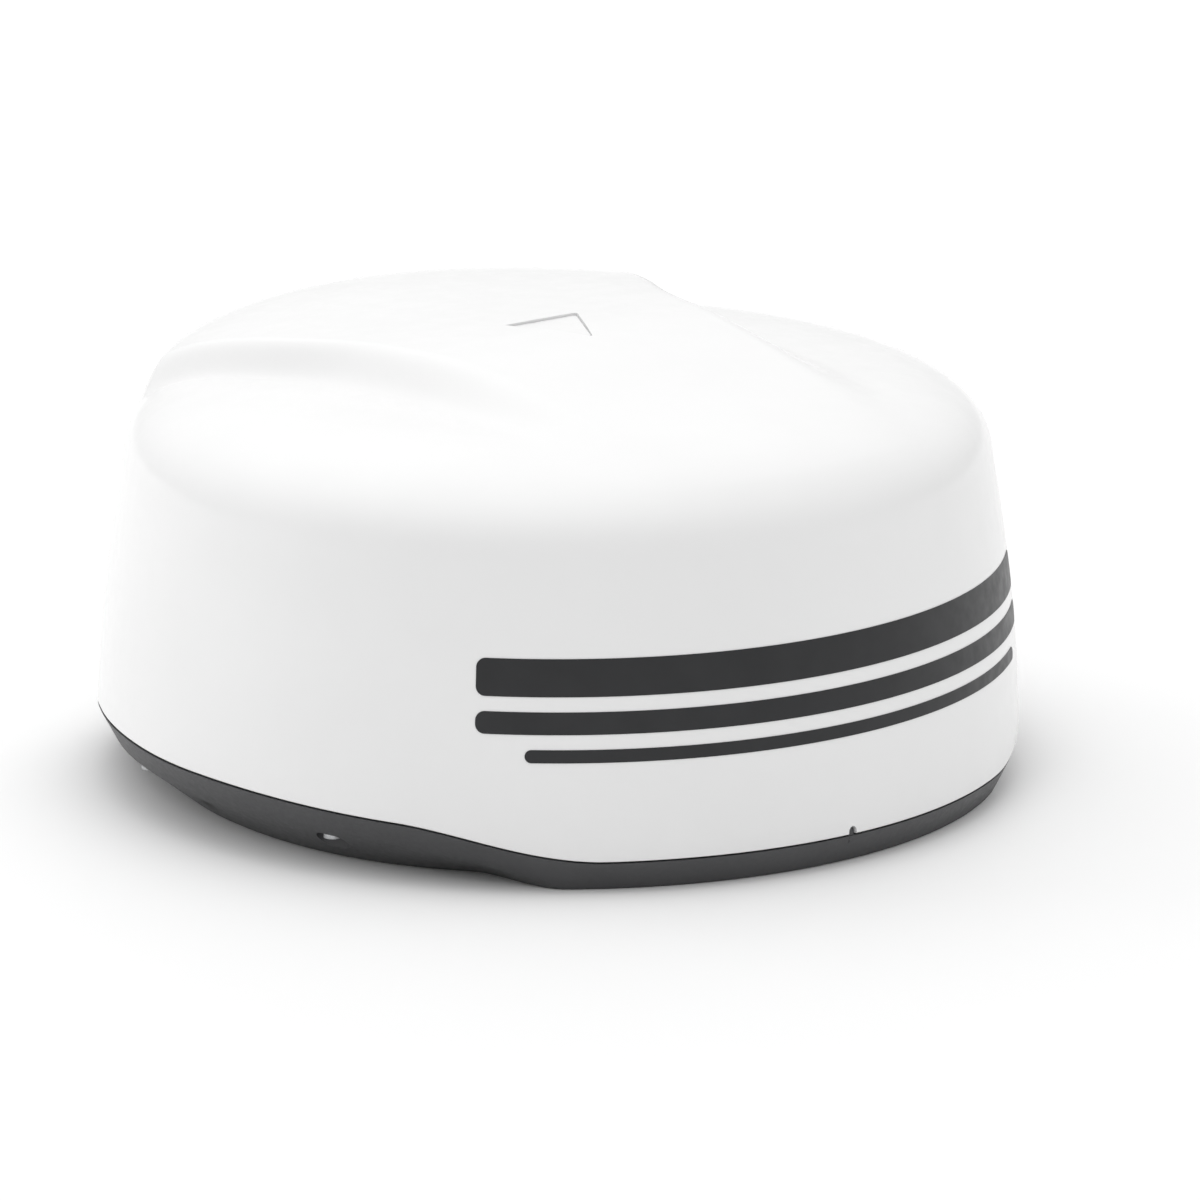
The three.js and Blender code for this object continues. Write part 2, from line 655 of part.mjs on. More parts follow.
function mainShaft() {
  const groove = SHAFT_RADIUS - 1.5;
  return turned([
    [SHAFT_BORE, SHAFT_LOW],
    [SHAFT_RADIUS, SHAFT_LOW],
    [SHAFT_RADIUS, LOWER_BEARING_Z - 2.3],
    [groove, LOWER_BEARING_Z - 2.3],
    [groove, LOWER_BEARING_Z - GAP],
    [SHAFT_RADIUS, LOWER_BEARING_Z - GAP],
    [SHAFT_RADIUS, SHAFT_FLANGE_LOW],
    [26, SHAFT_FLANGE_LOW],
    [26, SHAFT_TOP],
    [SHAFT_BORE, SHAFT_TOP],
    [SHAFT_BORE, SHAFT_LOW],
  ]);
}

// A spur gear's outline, with straight flanks and some backlash.
function gearOutline(teeth, turn) {
  const pitch = (GEAR_MODULE * teeth) / 2;
  const tip = pitch + 0.9 * GEAR_MODULE;
  const root = pitch - 1.2 * GEAR_MODULE;
  const pitchAngle = (2 * Math.PI) / teeth;
  const corners = [
    [root, -0.33],
    [tip, -0.11],
    [tip, 0.11],
    [root, 0.33],
  ];
  const outline = [];
  for (let tooth = 0; tooth < teeth; tooth += 1) {
    corners.forEach(([radius, share]) => {
      const angle = turn + (tooth + share) * pitchAngle;
      outline.push([radius * Math.cos(angle), radius * Math.sin(angle)]);
    });
  }
  return outline;
}

// The large gear on the shaft, lightened by round holes. A tooth gap faces the pinion.
function drivenGear() {
  const disc = plate(gearOutline(GEAR_TEETH, Math.PI / GEAR_TEETH), GEAR_LOW, GEAR_HIGH);
  const hub = upright(16, GEAR_LOW - 1, GEAR_HIGH + 2, 0, 0, 20);
  const holes = [45, 135, 225, 315].map((azimuth) => {
    const [x, y] = placeAt(34, azimuth);
    return upright(11, GEAR_LOW - 3, GEAR_HIGH + 3, x, y, 14);
  });
  return cut(disc.add(hub), [...holes, upright(SHAFT_RADIUS + GAP, 80, 120, 0, 0, 24)]);
}

function drivePinion() {
  const wheel = plate(gearOutline(PINION_TEETH, Math.PI), GEAR_LOW - 1, GEAR_HIGH + 1);
  return cut(wheel, [upright(2.8, 80, 120, 0, 0, 12)]).translate([MOTOR_AXIS_X, 0, 0]);
}

function motorShaft() {
  return upright(2.5, 50, GEAR_HIGH + 2.5, MOTOR_AXIS_X, 0, 12);
}

// A square stepping motor with chamfered corners and a bore for its shaft.
function motorBody() {
  const half = 21;
  const chamfer = 4;
  const corner = half - chamfer;
  const quarter = [[half, -corner], [half, corner]];
  const outline = [0, 90, 180, 270].flatMap((turn) => {
    const [cos, sin] = [Math.cos(radians(turn)), Math.sin(radians(turn))];
    return quarter.map(([x, y]) => [x * cos - y * sin, x * sin + y * cos]);
  });
  const can = plate(outline, 42, 83.7).translate([MOTOR_AXIS_X, 0, 0]);
  return cut(can, [upright(3, 48, 90, MOTOR_AXIS_X, 0, 12)]);
}

// The bracket that stands on the chassis and carries the motor beside the tower.
function motorBracket() {
  const outer = MOTOR_AXIS_X + 29;
  const top = block(28, outer, -24, 24, 84, 87.5);
  const leg = block(outer - 4, outer, -24, 24, CHASSIS_TOP + GAP, 87.5);
  const foot = block(outer - 4, outer + 14, -24, 24, CHASSIS_TOP + GAP, CHASSIS_TOP + 4);
  const openings = [
    upright(TOWER_RADIUS + GAP, 80, 90, 0, 0, 24),
    upright(11.5, 80, 90, MOTOR_AXIS_X, 0, 20),
  ];
  return cut(joined([top, leg, foot]), openings);
}

// The position sensor's small board on the tower, and its magnet under the large gear.
function positionSensor() {
  const board = block(-9, 9, -50, -TOWER_RADIUS - GAP, 84, 85.6);
  const sensor = block(-3, 3, -45, -39, 85, 88);
  const arm = block(-9, 9, -TOWER_RADIUS - 2.2, -TOWER_RADIUS - GAP, 76, 85);
  return joined([board, sensor, arm]);
}

function positionMagnet() {
  return upright(3, GEAR_LOW - 4, GEAR_LOW - GAP, 0, -42, 12);
}

// The coaxial rotary joint: the still half in the tower's foot, the turning half in the shaft.
function rotaryJointStator() {
  const low = CHASSIS_TOP + GAP;
  const body = [[0, low], [13, low], [13, 33], [7, 33]];
  const neck = [[7, 35.4], [2.6, 35.4], [2.6, 30], [0, 30]];
  return turned([...body, ...neck], 20);
}

function rotaryJointRotor() {
  const profile = [[0, 31], [2, 31], [2, 37], [4.6, 37], [4.6, 112], [0, 112]];
  return turned(profile, 12);
}

// The stiff coaxial line from the transceiver case to the rotary joint.
function feedLine() {
  const start = 13.4;
  const end = CASE.y0 - GAP;
  const z = 26.6;
  const nuts = [lying("y", 3.8, start, start + 6.6, 0, z, 6), lying("y", 3.8, end - 6.7, end, 0, z, 6)];
  return joined([lying("y", 2.2, start, end, 0, z, 10), ...nuts]);
}

// The angle bracket between the shaft's flange and the back of the array.
function antennaBracket() {
  const back = ARRAY_BACK + GAP;
  const foot = block(-34, 34, back, 26, SHAFT_TOP + GAP, SHAFT_TOP + 3.3);
  const web = block(-58, 58, back, back + 3, SHAFT_TOP + GAP, 172);
  const gussets = [-34, 31].map((x) => {
    const side = plate([[back, 0], [26, 0], [back + 3, 40], [back, 40]], 0, 3);
    const turn = side.rotate([90, 0, 90]);
    return turn.translate([x, 0, SHAFT_TOP + GAP]);
  });
  const openings = [
    block(-8, 8, back - 1, back + 4, 148, 162),
    upright(6, 110, 120, 0, 5, 12),
  ];
  return cut(joined([foot, web, ...gussets]), openings);
}

// The array's back: a shallow channel along X.
function arrayBackplate() {
  const half = ARRAY_HALF_LENGTH;
  const web = block(-half, half, ARRAY_BACK - 2.5, ARRAY_BACK, ARRAY_LOW, ARRAY_HIGH);
  const lips = [
    block(-half, half, ARRAY_FRONT + 4, ARRAY_BACK, ARRAY_LOW, ARRAY_LOW + 2),
    block(-half, half, ARRAY_FRONT + 4, ARRAY_BACK, ARRAY_HIGH - 2, ARRAY_HIGH),
  ];
  return joined([web, ...lips]);
}

function arrayCore() {
  const half = ARRAY_HALF_LENGTH - GAP;
  const back = ARRAY_BACK - 2.5 - GAP;
  return block(-half, half, ARRAY_FRONT + 2, back, ARRAY_LOW + 2.3, ARRAY_HIGH - 2.3);
}

// The printed board of radiating patches on the array's face.
function arrayBoard() {
  const half = ARRAY_HALF_LENGTH;
  return block(-half, half, ARRAY_FRONT, ARRAY_FRONT + BOARD_THICK, ARRAY_LOW, ARRAY_HIGH);
}

// The cap at each end of the array.
function arrayEnd(side) {
  const near = ARRAY_HALF_LENGTH + GAP;
  const thickness = 2.6;
  const x0 = side > 0 ? near : -near - thickness;
  return block(x0, x0 + thickness, ARRAY_FRONT, ARRAY_BACK, ARRAY_LOW, ARRAY_HIGH);
}

// The coaxial lead from the top of the shaft round to the back of the array.
function arrayFeed() {
  const route = new THREE.CatmullRomCurve3([
    new THREE.Vector3(0, 5, SHAFT_TOP + 0.6),
    new THREE.Vector3(0, 5, 122),
    new THREE.Vector3(0, 12, 134),
    new THREE.Vector3(0, 14, 147),
    new THREE.Vector3(0, 8, 155),
    new THREE.Vector3(0, ARRAY_BACK + 0.4, 155),
  ]);
  const circle = new THREE.Shape();
  circle.absarc(0, 0, 1.8, 0, 2 * Math.PI, false);
  const settings = { steps: 18, extrudePath: route, bevelEnabled: false, curveSegments: 4 };
  return solid(new THREE.ExtrudeGeometry(circle, settings));
}

// The transceiver's screening case, its lid and what is in it.
function transceiverCase() {
  const { x0, x1, y0, y1, z0, z1, wall } = CASE;
  const hollow = block(x0 + wall, x1 - wall, y0 + wall, y1 - wall, z0 + wall, z1 + 1);
  return cut(block(x0, x1, y0, y1, z0, z1), [hollow]);
}

function transceiverLid() {
  const { x0, x1, y0, y1, z1 } = CASE;
  const sheet = block(x0, x1, y0, y1, z1 + GAP, z1 + 2.3);
  const fins = Array.from({ length: 5 }, (_, i) => {
    const x = -24 + i * 12;
    return block(x, x + 2, y0 + 62, y1 - 4, z1 + 1, z1 + 12);
  });
  const posts = [[-60, 48], [60, 48], [60, 96], [-60, 96]].map(([x, y]) => {
    return upright(3, z1 + 1, z1 + 7.7, x, y, 8);
  });
  return joined([sheet, ...fins, ...posts]);
}

// A circuit board with the larger pieces on it, each [x0, x1, y0, y1, height].
function circuitBoard(x0, x1, y0, y1, z, pieces) {
  const top = z + BOARD_THICK;
  const board = block(x0, x1, y0, y1, z, top);
  const parts = pieces.map(([px0, px1, py0, py1, height]) => {
    return block(px0, px1, py0, py1, top - 0.6, top + height);
  });
  return joined([board, ...parts]);
}

function receiverBoard() {
  const pieces = [[-50, -28, 60, 80, 4], [-10, 12, 70, 96, 6], [30, 52, 58, 76, 3]];
  return circuitBoard(CASE.x0 + 5, CASE.x1 - 5, CASE.y0 + 5, CASE.y1 - 5, 34, pieces);
}

function processorBoard() {
  const pieces = [
    [-40, -20, 60, 80, 2.5],
    [-6, 18, 52, 62, 4],
    [30, 44, 70, 84, 2],
    [-56, -50, 54, 66, 8],
  ];
  return circuitBoard(-64, 64, 44, 100, CASE.z1 + 8, pieces);
}

function powerBoard() {
  const pieces = [
    [-60, -38, -112, -92, 18],
    [-30, -14, -112, -60, 12],
    [-4, 14, -84, -66, 9],
    [44, 60, -66, -54, 14],
  ];
  const board = circuitBoard(-68, 68, -118, -50, POWER_BOARD_Z, pieces);
  const posts = [[-62, -56], [62, -60], [62, -112], [-64, -116]].map(([x, y]) => {
    return upright(3, CHASSIS_TOP + GAP, POWER_BOARD_Z + 1, x, y, 8);
  });
  return joined([board, ...posts]);
}

function pulseTransformer() {
  const [x0, x1, y0, y1] = [20, 56, -110, -78];
  const low = POWER_BOARD_Z + BOARD_THICK + GAP;
  return joined([
    block(x0, x1, y0, y1, low, low + 6),
    block(x0 + 6, x1 - 6, y0 + 6, y1 - 6, low + 5, low + 20),
    block(x0, x1, y0, y1, low + 19, low + 25),
  ]);
}

// The magnetron: its can between two magnets on a steel yoke.
function magnetron() {
  const [x0, x1] = [-128, -78];
  const centre = (x0 + x1) / 2;
  const half = 34;
  const pole = 20;
  const yoke = CHASSIS_TOP + GAP;
  const top = 68;
  return joined([
    block(x0, x1, -half, half, yoke, 26),
    block(x0, x1, -half, -pole, 25, top),
    block(x0, x1, pole, half, 25, top),
    upright(15, 25, top - 6, centre, 0, 16),
    lying("y", 9, -pole - 1, pole + 1, centre, 44, 12),
  ]);
}

// The circulating fan: a square frame with a hub held on struts, and the impeller.
function fanFrame() {
  const half = FAN.size / 2;
  const front = FAN.x - FAN.depth / 2;
  const back = front + FAN.depth;
  const frame = block(front, back, FAN.y - half, FAN.y + half, FAN.z - half, FAN.z + half);
  const bore = lying("x", FAN.bore, front - 1, back + 1, FAN.y, FAN.z, 24);
  const hub = lying("x", 7, front, front + 2, FAN.y, FAN.z, 12);
  const struts = [
    block(front, front + 1.6, FAN.y - half, FAN.y + half, FAN.z - 1.2, FAN.z + 1.2),
    block(front, front + 1.6, FAN.y - 1.2, FAN.y + 1.2, FAN.z - half, FAN.z + half),
  ];
  return joined([cut(frame, [bore]), hub, ...struts]);
}

function fanImpeller() {
  const front = FAN.x - FAN.depth / 2 + 2.4;
  const hub = lying("x", 7.5, front, front + 6.8, FAN.y, FAN.z, 14);
  const blades = Array.from({ length: 7 }, (_, i) => {
    const blade = new THREE.BoxGeometry(7, 1, 11.5);
    blade.rotateZ(radians(38));
    blade.translate(0, 0, 12.2);
    blade.rotateX(radians((360 / 7) * i));
    blade.translate(front + 3.4, FAN.y, FAN.z);
    return solid(blade);
  });
  return joined([hub, ...blades]);
}

// One of the plain stripes round the bow: a thin skin just off the dome's wall.
function bowStripe(low, high, halfSpan) {
  const step = 360 / AZIMUTH_STEPS;
  const spans = Math.round((2 * halfSpan) / step);
  const rows = [];
  for (let i = 0; i <= spans; i += 1) {
    const azimuth = -halfSpan + i * step;
    const skin = [[GAP, low], [2 * GAP, low], [2 * GAP, high], [GAP, high]];
    rows.push(skin.map(([off, z]) => {
      const [x, y] = placeAt(wallRadius(z) + off, azimuth);
      return [x, y, z];
    }));
  }
  const triangles = [];
  for (let i = 0; i < spans; i += 1) {
    for (let j = 0; j < 4; j += 1) {
      const a = i * 4 + j;
      const d = i * 4 + ((j + 1) % 4);
      triangles.push(a, a + 4, d + 4, a, d + 4, d);
    }
  }
  const end = spans * 4;
  triangles.push(0, 1, 2, 0, 2, 3, end, end + 2, end + 1, end, end + 3, end + 2);
  const geometry = new THREE.BufferGeometry();
  geometry.setAttribute("position", new THREE.Float32BufferAttribute(rows.flat(2), 3));
  geometry.setIndex(triangles);
  return solid(geometry);
}

// The assembly
const radar = new THREE.Group();

function part(group, name, body, material) {
  const mesh = new THREE.Mesh(geometryOf(body), material());
  mesh.name = name;
  group.add(mesh);
}

function numbered(group, name, items, make, material) {
  items.forEach((item, i) => part(group, `${name}_${i + 1}`, make(item), material));
}

function buildCover() {
  const cover = new THREE.Group();
  part(cover, "dome_cover", domeCover(), gloss_white);
  part(cover, "bow_stripe_upper", bowStripe(106, 126, 48), graphic_ink);
  part(cover, "bow_stripe_middle", bowStripe(86, 98, 48), graphic_ink);
  part(cover, "bow_stripe_lower", bowStripe(71, 78, 42), graphic_ink);
  numbered(cover, "dome_insert", SCREW_AZIMUTHS, domeInsert, brass);
  return cover;
}

function buildBase() {
  const base = new THREE.Group();
  part(base, "base_pan", basePan(), charcoal);
  part(base, "dome_gasket", domeGasket(), black_rubber);
  numbered(base, "captive_screw", SCREW_AZIMUTHS, captiveScrew, stainless);
  numbered(base, "mount_insert", MOUNT_PLACES, mountInsert, stainless);
  part(base, "power_socket", bulkheadSocket(SOCKET_XS[0], 9.5, 7.5), black_plastic);
  part(base, "network_socket", bulkheadSocket(SOCKET_XS[1], 10.5, 8.5), black_plastic);
  part(base, "breather_vent", breatherVent(), black_plastic);
  return base;
}

function buildDrive() {
  const drive = new THREE.Group();
  part(drive, "chassis_frame", chassisFrame(), cast_aluminium);
  numbered(drive, "chassis_screw", CHASSIS_PLACES, chassisScrew, stainless);
  part(drive, "lower_bearing_outer", bearingOuter(LOWER_BEARING_Z), bearing_steel);
  part(drive, "lower_bearing_inner", bearingInner(LOWER_BEARING_Z), bearing_steel);
  part(drive, "upper_bearing_outer", bearingOuter(UPPER_BEARING_Z), bearing_steel);
  part(drive, "upper_bearing_inner", bearingInner(UPPER_BEARING_Z), bearing_steel);
  part(drive, "bearing_circlip", bearingCirclip(), bearing_steel);
  part(drive, "main_shaft", mainShaft(), stainless);
  part(drive, "driven_gear", drivenGear(), white_gear);
  part(drive, "drive_pinion", drivePinion(), brass);
  part(drive, "motor_shaft", motorShaft(), stainless);
  part(drive, "motor_body", motorBody(), magnet_grey);
  part(drive, "motor_bracket", motorBracket(), sheet_aluminium);
  part(drive, "position_sensor", positionSensor(), circuit_green);
  part(drive, "position_magnet", positionMagnet(), magnet_grey);
  part(drive, "rotary_joint_stator", rotaryJointStator(), brass);
  part(drive, "rotary_joint_rotor", rotaryJointRotor(), brass);
  return drive;
}

function buildAntenna() {
  const antenna = new THREE.Group();
  part(antenna, "antenna_bracket", antennaBracket(), sheet_aluminium);
  part(antenna, "array_backplate", arrayBackplate(), sheet_aluminium);
  part(antenna, "array_core", arrayCore(), foam_white);
  part(antenna, "array_board", arrayBoard(), circuit_green);
  part(antenna, "array_end_left", arrayEnd(-1), black_plastic);
  part(antenna, "array_end_right", arrayEnd(1), black_plastic);
  part(antenna, "array_feed", arrayFeed(), brass);
  return antenna;
}

function buildElectronics() {
  const electronics = new THREE.Group();
  part(electronics, "transceiver_case", transceiverCase(), cast_aluminium);
  part(electronics, "transceiver_lid", transceiverLid(), sheet_aluminium);
  part(electronics, "receiver_board", receiverBoard(), circuit_green);
  part(electronics, "processor_board", processorBoard(), circuit_green);
  part(electronics, "power_board", powerBoard(), circuit_green);
  part(electronics, "pulse_transformer", pulseTransformer(), magnet_grey);
  part(electronics, "magnetron", magnetron(), magnet_grey);
  part(electronics, "feed_line", feedLine(), brass);
  part(electronics, "fan_frame", fanFrame(), black_plastic);
  part(electronics, "fan_impeller", fanImpeller(), black_plastic);
  return electronics;
}

radar.add(buildCover(), buildBase(), buildDrive(), buildAntenna(), buildElectronics());

export default radar;
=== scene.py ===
import json
import random
from math import cos, degrees, pi, radians, sin, sqrt

import bmesh
import bpy
import numpy as np
from mathutils import Matrix, Vector

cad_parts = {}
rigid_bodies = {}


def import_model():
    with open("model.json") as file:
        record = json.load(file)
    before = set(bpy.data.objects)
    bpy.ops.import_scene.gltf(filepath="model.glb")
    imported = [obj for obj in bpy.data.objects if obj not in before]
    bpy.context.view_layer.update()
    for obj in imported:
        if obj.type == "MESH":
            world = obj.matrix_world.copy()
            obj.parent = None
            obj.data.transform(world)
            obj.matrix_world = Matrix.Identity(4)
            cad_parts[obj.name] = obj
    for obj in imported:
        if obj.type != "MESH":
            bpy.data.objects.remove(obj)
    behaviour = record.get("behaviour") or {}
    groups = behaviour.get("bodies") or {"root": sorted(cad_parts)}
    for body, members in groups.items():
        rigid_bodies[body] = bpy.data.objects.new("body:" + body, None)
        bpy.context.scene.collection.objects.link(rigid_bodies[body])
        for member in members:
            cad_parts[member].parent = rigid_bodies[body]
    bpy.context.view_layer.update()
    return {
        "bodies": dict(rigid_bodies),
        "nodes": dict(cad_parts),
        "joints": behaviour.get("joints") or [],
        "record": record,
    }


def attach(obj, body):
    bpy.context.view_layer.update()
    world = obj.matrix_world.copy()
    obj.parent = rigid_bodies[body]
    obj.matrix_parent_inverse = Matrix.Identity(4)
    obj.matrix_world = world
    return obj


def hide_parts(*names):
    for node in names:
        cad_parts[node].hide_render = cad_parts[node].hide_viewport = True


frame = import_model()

MM = 0.001
BODY_OF = {
    node: body
    for body, nodes in frame["record"]["behaviour"]["bodies"].items()
    for node in nodes
}
SLOT_OF = {sub["node"]: sub["material_slot"] for sub in frame["record"]["subparts"]}

# ---------------------------------------------------------------- the outer form
PARTING_BOW = 16.5
WALL_TOP = 176.7
PARTING_GAP = 1.0
DOME_WALL = 4.4
BASE_RADIUS = 253.7
LIP_OUTER, LIP_INNER, LIP_HEIGHT = 248.6, 245.6, 5.0
GROOVE_OUTER, GROOVE_DEPTH = 251.0, 2.6
FLOOR = 4.0
SCREW_RADIUS = 232.0
SCREW_AZIMUTHS = (69, 111, -111, -69)
NOTCH_RADIUS = 228.0
NOTCH_AZIMUTHS = (93, -93)
MOUNTS = ((-116.5, -70.75), (116.5, -70.75), (116.5, 70.75), (-116.5, 70.75))
CHASSIS_SCREWS = ((-84, -84), (84, -84), (98, 84), (-98, 84))
AROUND = 400  # steps round the dome and the base
AZIMUTHS = np.arange(AROUND)[:, None] * 360 / AROUND


def smooth(low, high, x):
    t = np.clip((np.asarray(x, float) - low) / (high - low), 0, 1)
    return t * t * (3 - 2 * t)


def place(radius, azimuth):
    """The point at a distance from the axis, at an angle from the bow."""
    a = np.radians(azimuth)
    return radius * np.sin(a), -radius * np.cos(a)


def from_bow(azimuth):
    return np.abs((np.asarray(azimuth, float) + 180) % 360 - 180)


def folded(azimuth):
    turn = from_bow(azimuth)
    return np.where(turn > 90, 180 - turn, turn)


def parting(azimuth):
    t = from_bow(azimuth)
    rise = 15.0 * smooth(32, 58, t) + 8.3 * smooth(40, 90, t) + 1.6 * smooth(88, 112, t)
    return PARTING_BOW + rise * (1 - smooth(118, 150, t))


def wall_radius(z):
    return 254.3 - 15.9 * (np.maximum(np.asarray(z, float) - PARTING_BOW, 0) / 157.6) ** 1.8


ROOF_RADIUS = float(wall_radius(WALL_TOP))

# The slope at each side of the raised middle: y, |x| at its top, |x| at its foot.
PLATEAU_SIDES = np.array(
    [
        (-200, 70, 114), (-110, 75, 116), (-50, 81, 121), (0, 90, 122), (40, 100, 127),
        (75, 119, 138), (110, 132, 151), (150, 149, 164), (200, 167, 188),
    ],
    float,
)


def softened(table, column, y):
    """A table's column at y, averaged over a short stretch so that it has no corners."""
    offsets = np.linspace(-26, 26, 9)
    weights = np.exp(-((offsets / 15) ** 2))
    parts = [w * np.interp(y + o, table[:, 0], table[:, column]) for o, w in zip(offsets, weights)]
    return sum(parts) / weights.sum()


def plateau(x, y, radius):
    along = np.where(
        y > 0, 22.1 - 2.2 * smooth(0, 170, y), 22.1 - 20.1 * smooth(0, 190, -y)
    )
    crown = 2.14 * (np.minimum(np.abs(x), 150) / 100) ** 2
    top, foot = softened(PLATEAU_SIDES, 1, y), softened(PLATEAU_SIDES, 2, y)
    t = np.clip((np.abs(x) - top) / (foot - top), 0, 1)
    even = t**3 * (10 - 15 * t + 6 * t * t)
    crease = 0.12 + 0.22 * smooth(-20, 60, y)  # the foot is crisper towards the stern
    drop = (1 - crease) * even + crease * t * t
    rim = 1 - smooth(217, ROOF_RADIUS, radius)
    return np.maximum(along - crown, 0) * (1 - drop) * rim


def roof_profile(step=2.6, wall_from=158.0):
    """Points [radius, z] from high on the wall over the shoulder to the axis, with the corner eased."""
    z = np.arange(110, WALL_TOP, 0.5)
    angle = np.pi / 2 * (1 - (1 - np.linspace(0, 1, 6000)) ** 3)
    r_roof = ROOF_RADIUS * np.cos(angle) ** (2 / 5.32)
    z_roof = WALL_TOP + 49.2 * np.sin(angle) ** (2 / 2.31)
    r_roof[-1] = 0
    r = np.concatenate([wall_radius(z), r_roof])
    z = np.concatenate([z, z_roof])
    run = np.concatenate([[0], np.cumsum(np.hypot(np.diff(r), np.diff(z)))])
    even = np.arange(0, run[-1], 0.5)
    r, z = np.interp(even, run, r), np.interp(even, run, z)
    kernel = np.exp(-((np.arange(-40, 41) * 0.5 / 6.0) ** 2) / 2)
    kernel /= kernel.sum()
    padded = [np.pad(v, 40, "edge") for v in (r, z)]
    r2, z2 = [np.convolve(v, kernel, "valid") for v in padded]
    ease = smooth(120, 140, z) * (1 - smooth(0, 60, 60 - r))
    r, z = r + (r2 - r) * ease, z + (z2 - z) * ease
    keep = z > wall_from
    r, z = r[keep], z[keep]
    pick = np.unique(np.round(np.linspace(0, len(r) - 1, int(len(r) * 0.5 / step))).astype(int))
    r, z = r[pick], z[pick]
    r[-1] = 0
    return r, z

# ---------------------------------------------------------------- meshes
def new_mesh(name, vertices, faces):
    mesh = bpy.data.meshes.new(name)
    mesh.from_pydata((np.asarray(vertices, float) * MM).tolist(), [], faces)
    mesh.update()
    return mesh


def new_object(name, data):
    made = bpy.data.objects.new(name, data)
    bpy.context.scene.collection.objects.link(made)
    return made


def coat_with(made, material):
    made.data.materials.clear()
    made.data.materials.append(material)


def ring_mesh(name, radii, heights, closed=False):
    """A surface of rings. radii and heights hold a row for each azimuth.
    Where closed is false, the first and last points of every row lie on the axis."""
    points = np.stack([*place(radii, AZIMUTHS), heights], -1)
    ends = points[0, [0, -1]]
    if not closed:
        points = points[:, 1:-1]
    rows, width = points.shape[:2]
    i, j = np.meshgrid(np.arange(rows), np.arange(width if closed else width - 1), indexing="ij")
    here, there, up = i * width, (i + 1) % rows * width, (j + 1) % width
    faces = np.stack([here + j, there + j, there + up, here + up], -1).reshape(-1, 4).tolist()
    vertices = points.reshape(-1, 3)
    if not closed:
        start, last = len(vertices), width - 1
        vertices = np.vstack([vertices, ends])
        for a, b in zip(here[:, 0].tolist(), there[:, 0].tolist()):
            faces += [(start, b, a), (start + 1, a + last, b + last)]
    return new_mesh(name, vertices, faces)


def combine(target, tools, operation):
    """Joins or cuts closed meshes and leaves the result in target."""
    for tool in tools:
        step = target.modifiers.new("step", "BOOLEAN")
        step.operation = operation
        step.solver = "MANIFOLD"
        step.object = tool
    bpy.context.view_layer.update()
    graph = bpy.context.evaluated_depsgraph_get()
    mesh = bpy.data.meshes.new_from_object(target.evaluated_get(graph), depsgraph=graph)
    target.modifiers.clear()
    target.data = mesh
    for tool in tools:
        bpy.data.objects.remove(tool)


def round_edges(part, offset, segments, only_flat=None):
    """Bevels a part's edges, or only those that lie flat at the heights in only_flat."""
    edges = part.edges
    if only_flat:
        edges = [
            e for e in part.edges
            if any(all(abs(v.co.z - z) < 1e-4 for v in e.verts) for z in only_flat)
        ]
    if offset > 0:
        bmesh.ops.bevel(
            part, geom=list(edges), offset=offset, segments=segments, profile=0.5,
            affect="EDGES", clamp_overlap=True,
        )


def turns(count):
    return [2 * pi * k / count for k in range(count)]


def circle(radius, steps=32, x=0.0, y=0.0):
    return [(x + radius * cos(a), y + radius * sin(a)) for a in turns(steps)]


def oblong(length, width, steps=16):
    """The outline of an oblong with round ends, along X."""
    half = (length - width) / 2
    ends = np.linspace(-pi / 2, pi / 2, steps)
    right = [(half + width / 2 * cos(a), width / 2 * sin(a)) for a in ends]
    return right + [(-x, -y) for x, y in right]


def loft(rings):
    """A closed solid through rings of points, with flat ends."""
    part = bmesh.new()
    rings = [[part.verts.new(point) for point in ring] for ring in rings]
    for a, b in zip(rings, rings[1:]):
        for k in range(len(a)):
            n = (k + 1) % len(a)
            part.faces.new((a[k], a[n], b[n], b[k]))
    part.faces.new(list(reversed(rings[0])))
    part.faces.new(rings[-1])
    return part


def prism_of(outline, z0, z1):
    return loft([[(x, y, z) for x, y in outline] for z in (z0, z1)])


def box_of(x0, x1, y0, y1, z0, z1, bevel=0.0, segments=3):
    part = bmesh.new()
    bmesh.ops.create_cube(part, size=1)
    middle = shift((x0 + x1) / 2, (y0 + y1) / 2, (z0 + z1) / 2)
    part.transform(middle @ Matrix.Diagonal((x1 - x0, y1 - y0, z1 - z0, 1)))
    round_edges(part, bevel, segments)
    return part


def bar(radius, low, high, foot=0.0, head=0.0):
    """A round bar's profile, with the corners of its ends cut off by foot and head."""
    corners = (radius - foot, low), (radius, low + foot), (radius, high - head), (radius - head, high)
    return [(0, low), *dict.fromkeys(corners), (0, high)]


def lathe_of(profile, steps):
    """A turned solid. A point on the axis becomes one vertex. A profile off the axis closes on itself."""
    part = bmesh.new()
    rings = []
    for radius, z in profile:
        spots = circle(radius, steps) if radius > 1e-6 else [(0, 0)]
        rings.append([part.verts.new((x, y, z)) for x, y in spots])
    pairs = list(zip(rings, rings[1:]))
    if len(rings[0]) > 1:
        pairs.append((rings[-1], rings[0]))
    for a, b in pairs:
        for k in range(steps):
            n = (k + 1) % steps
            corners = [a[0]] if len(a) == 1 else [a[k], a[n]]
            corners += [b[0]] if len(b) == 1 else [b[n], b[k]]
            if len(corners) > 2:
                part.faces.new(corners)
    return part


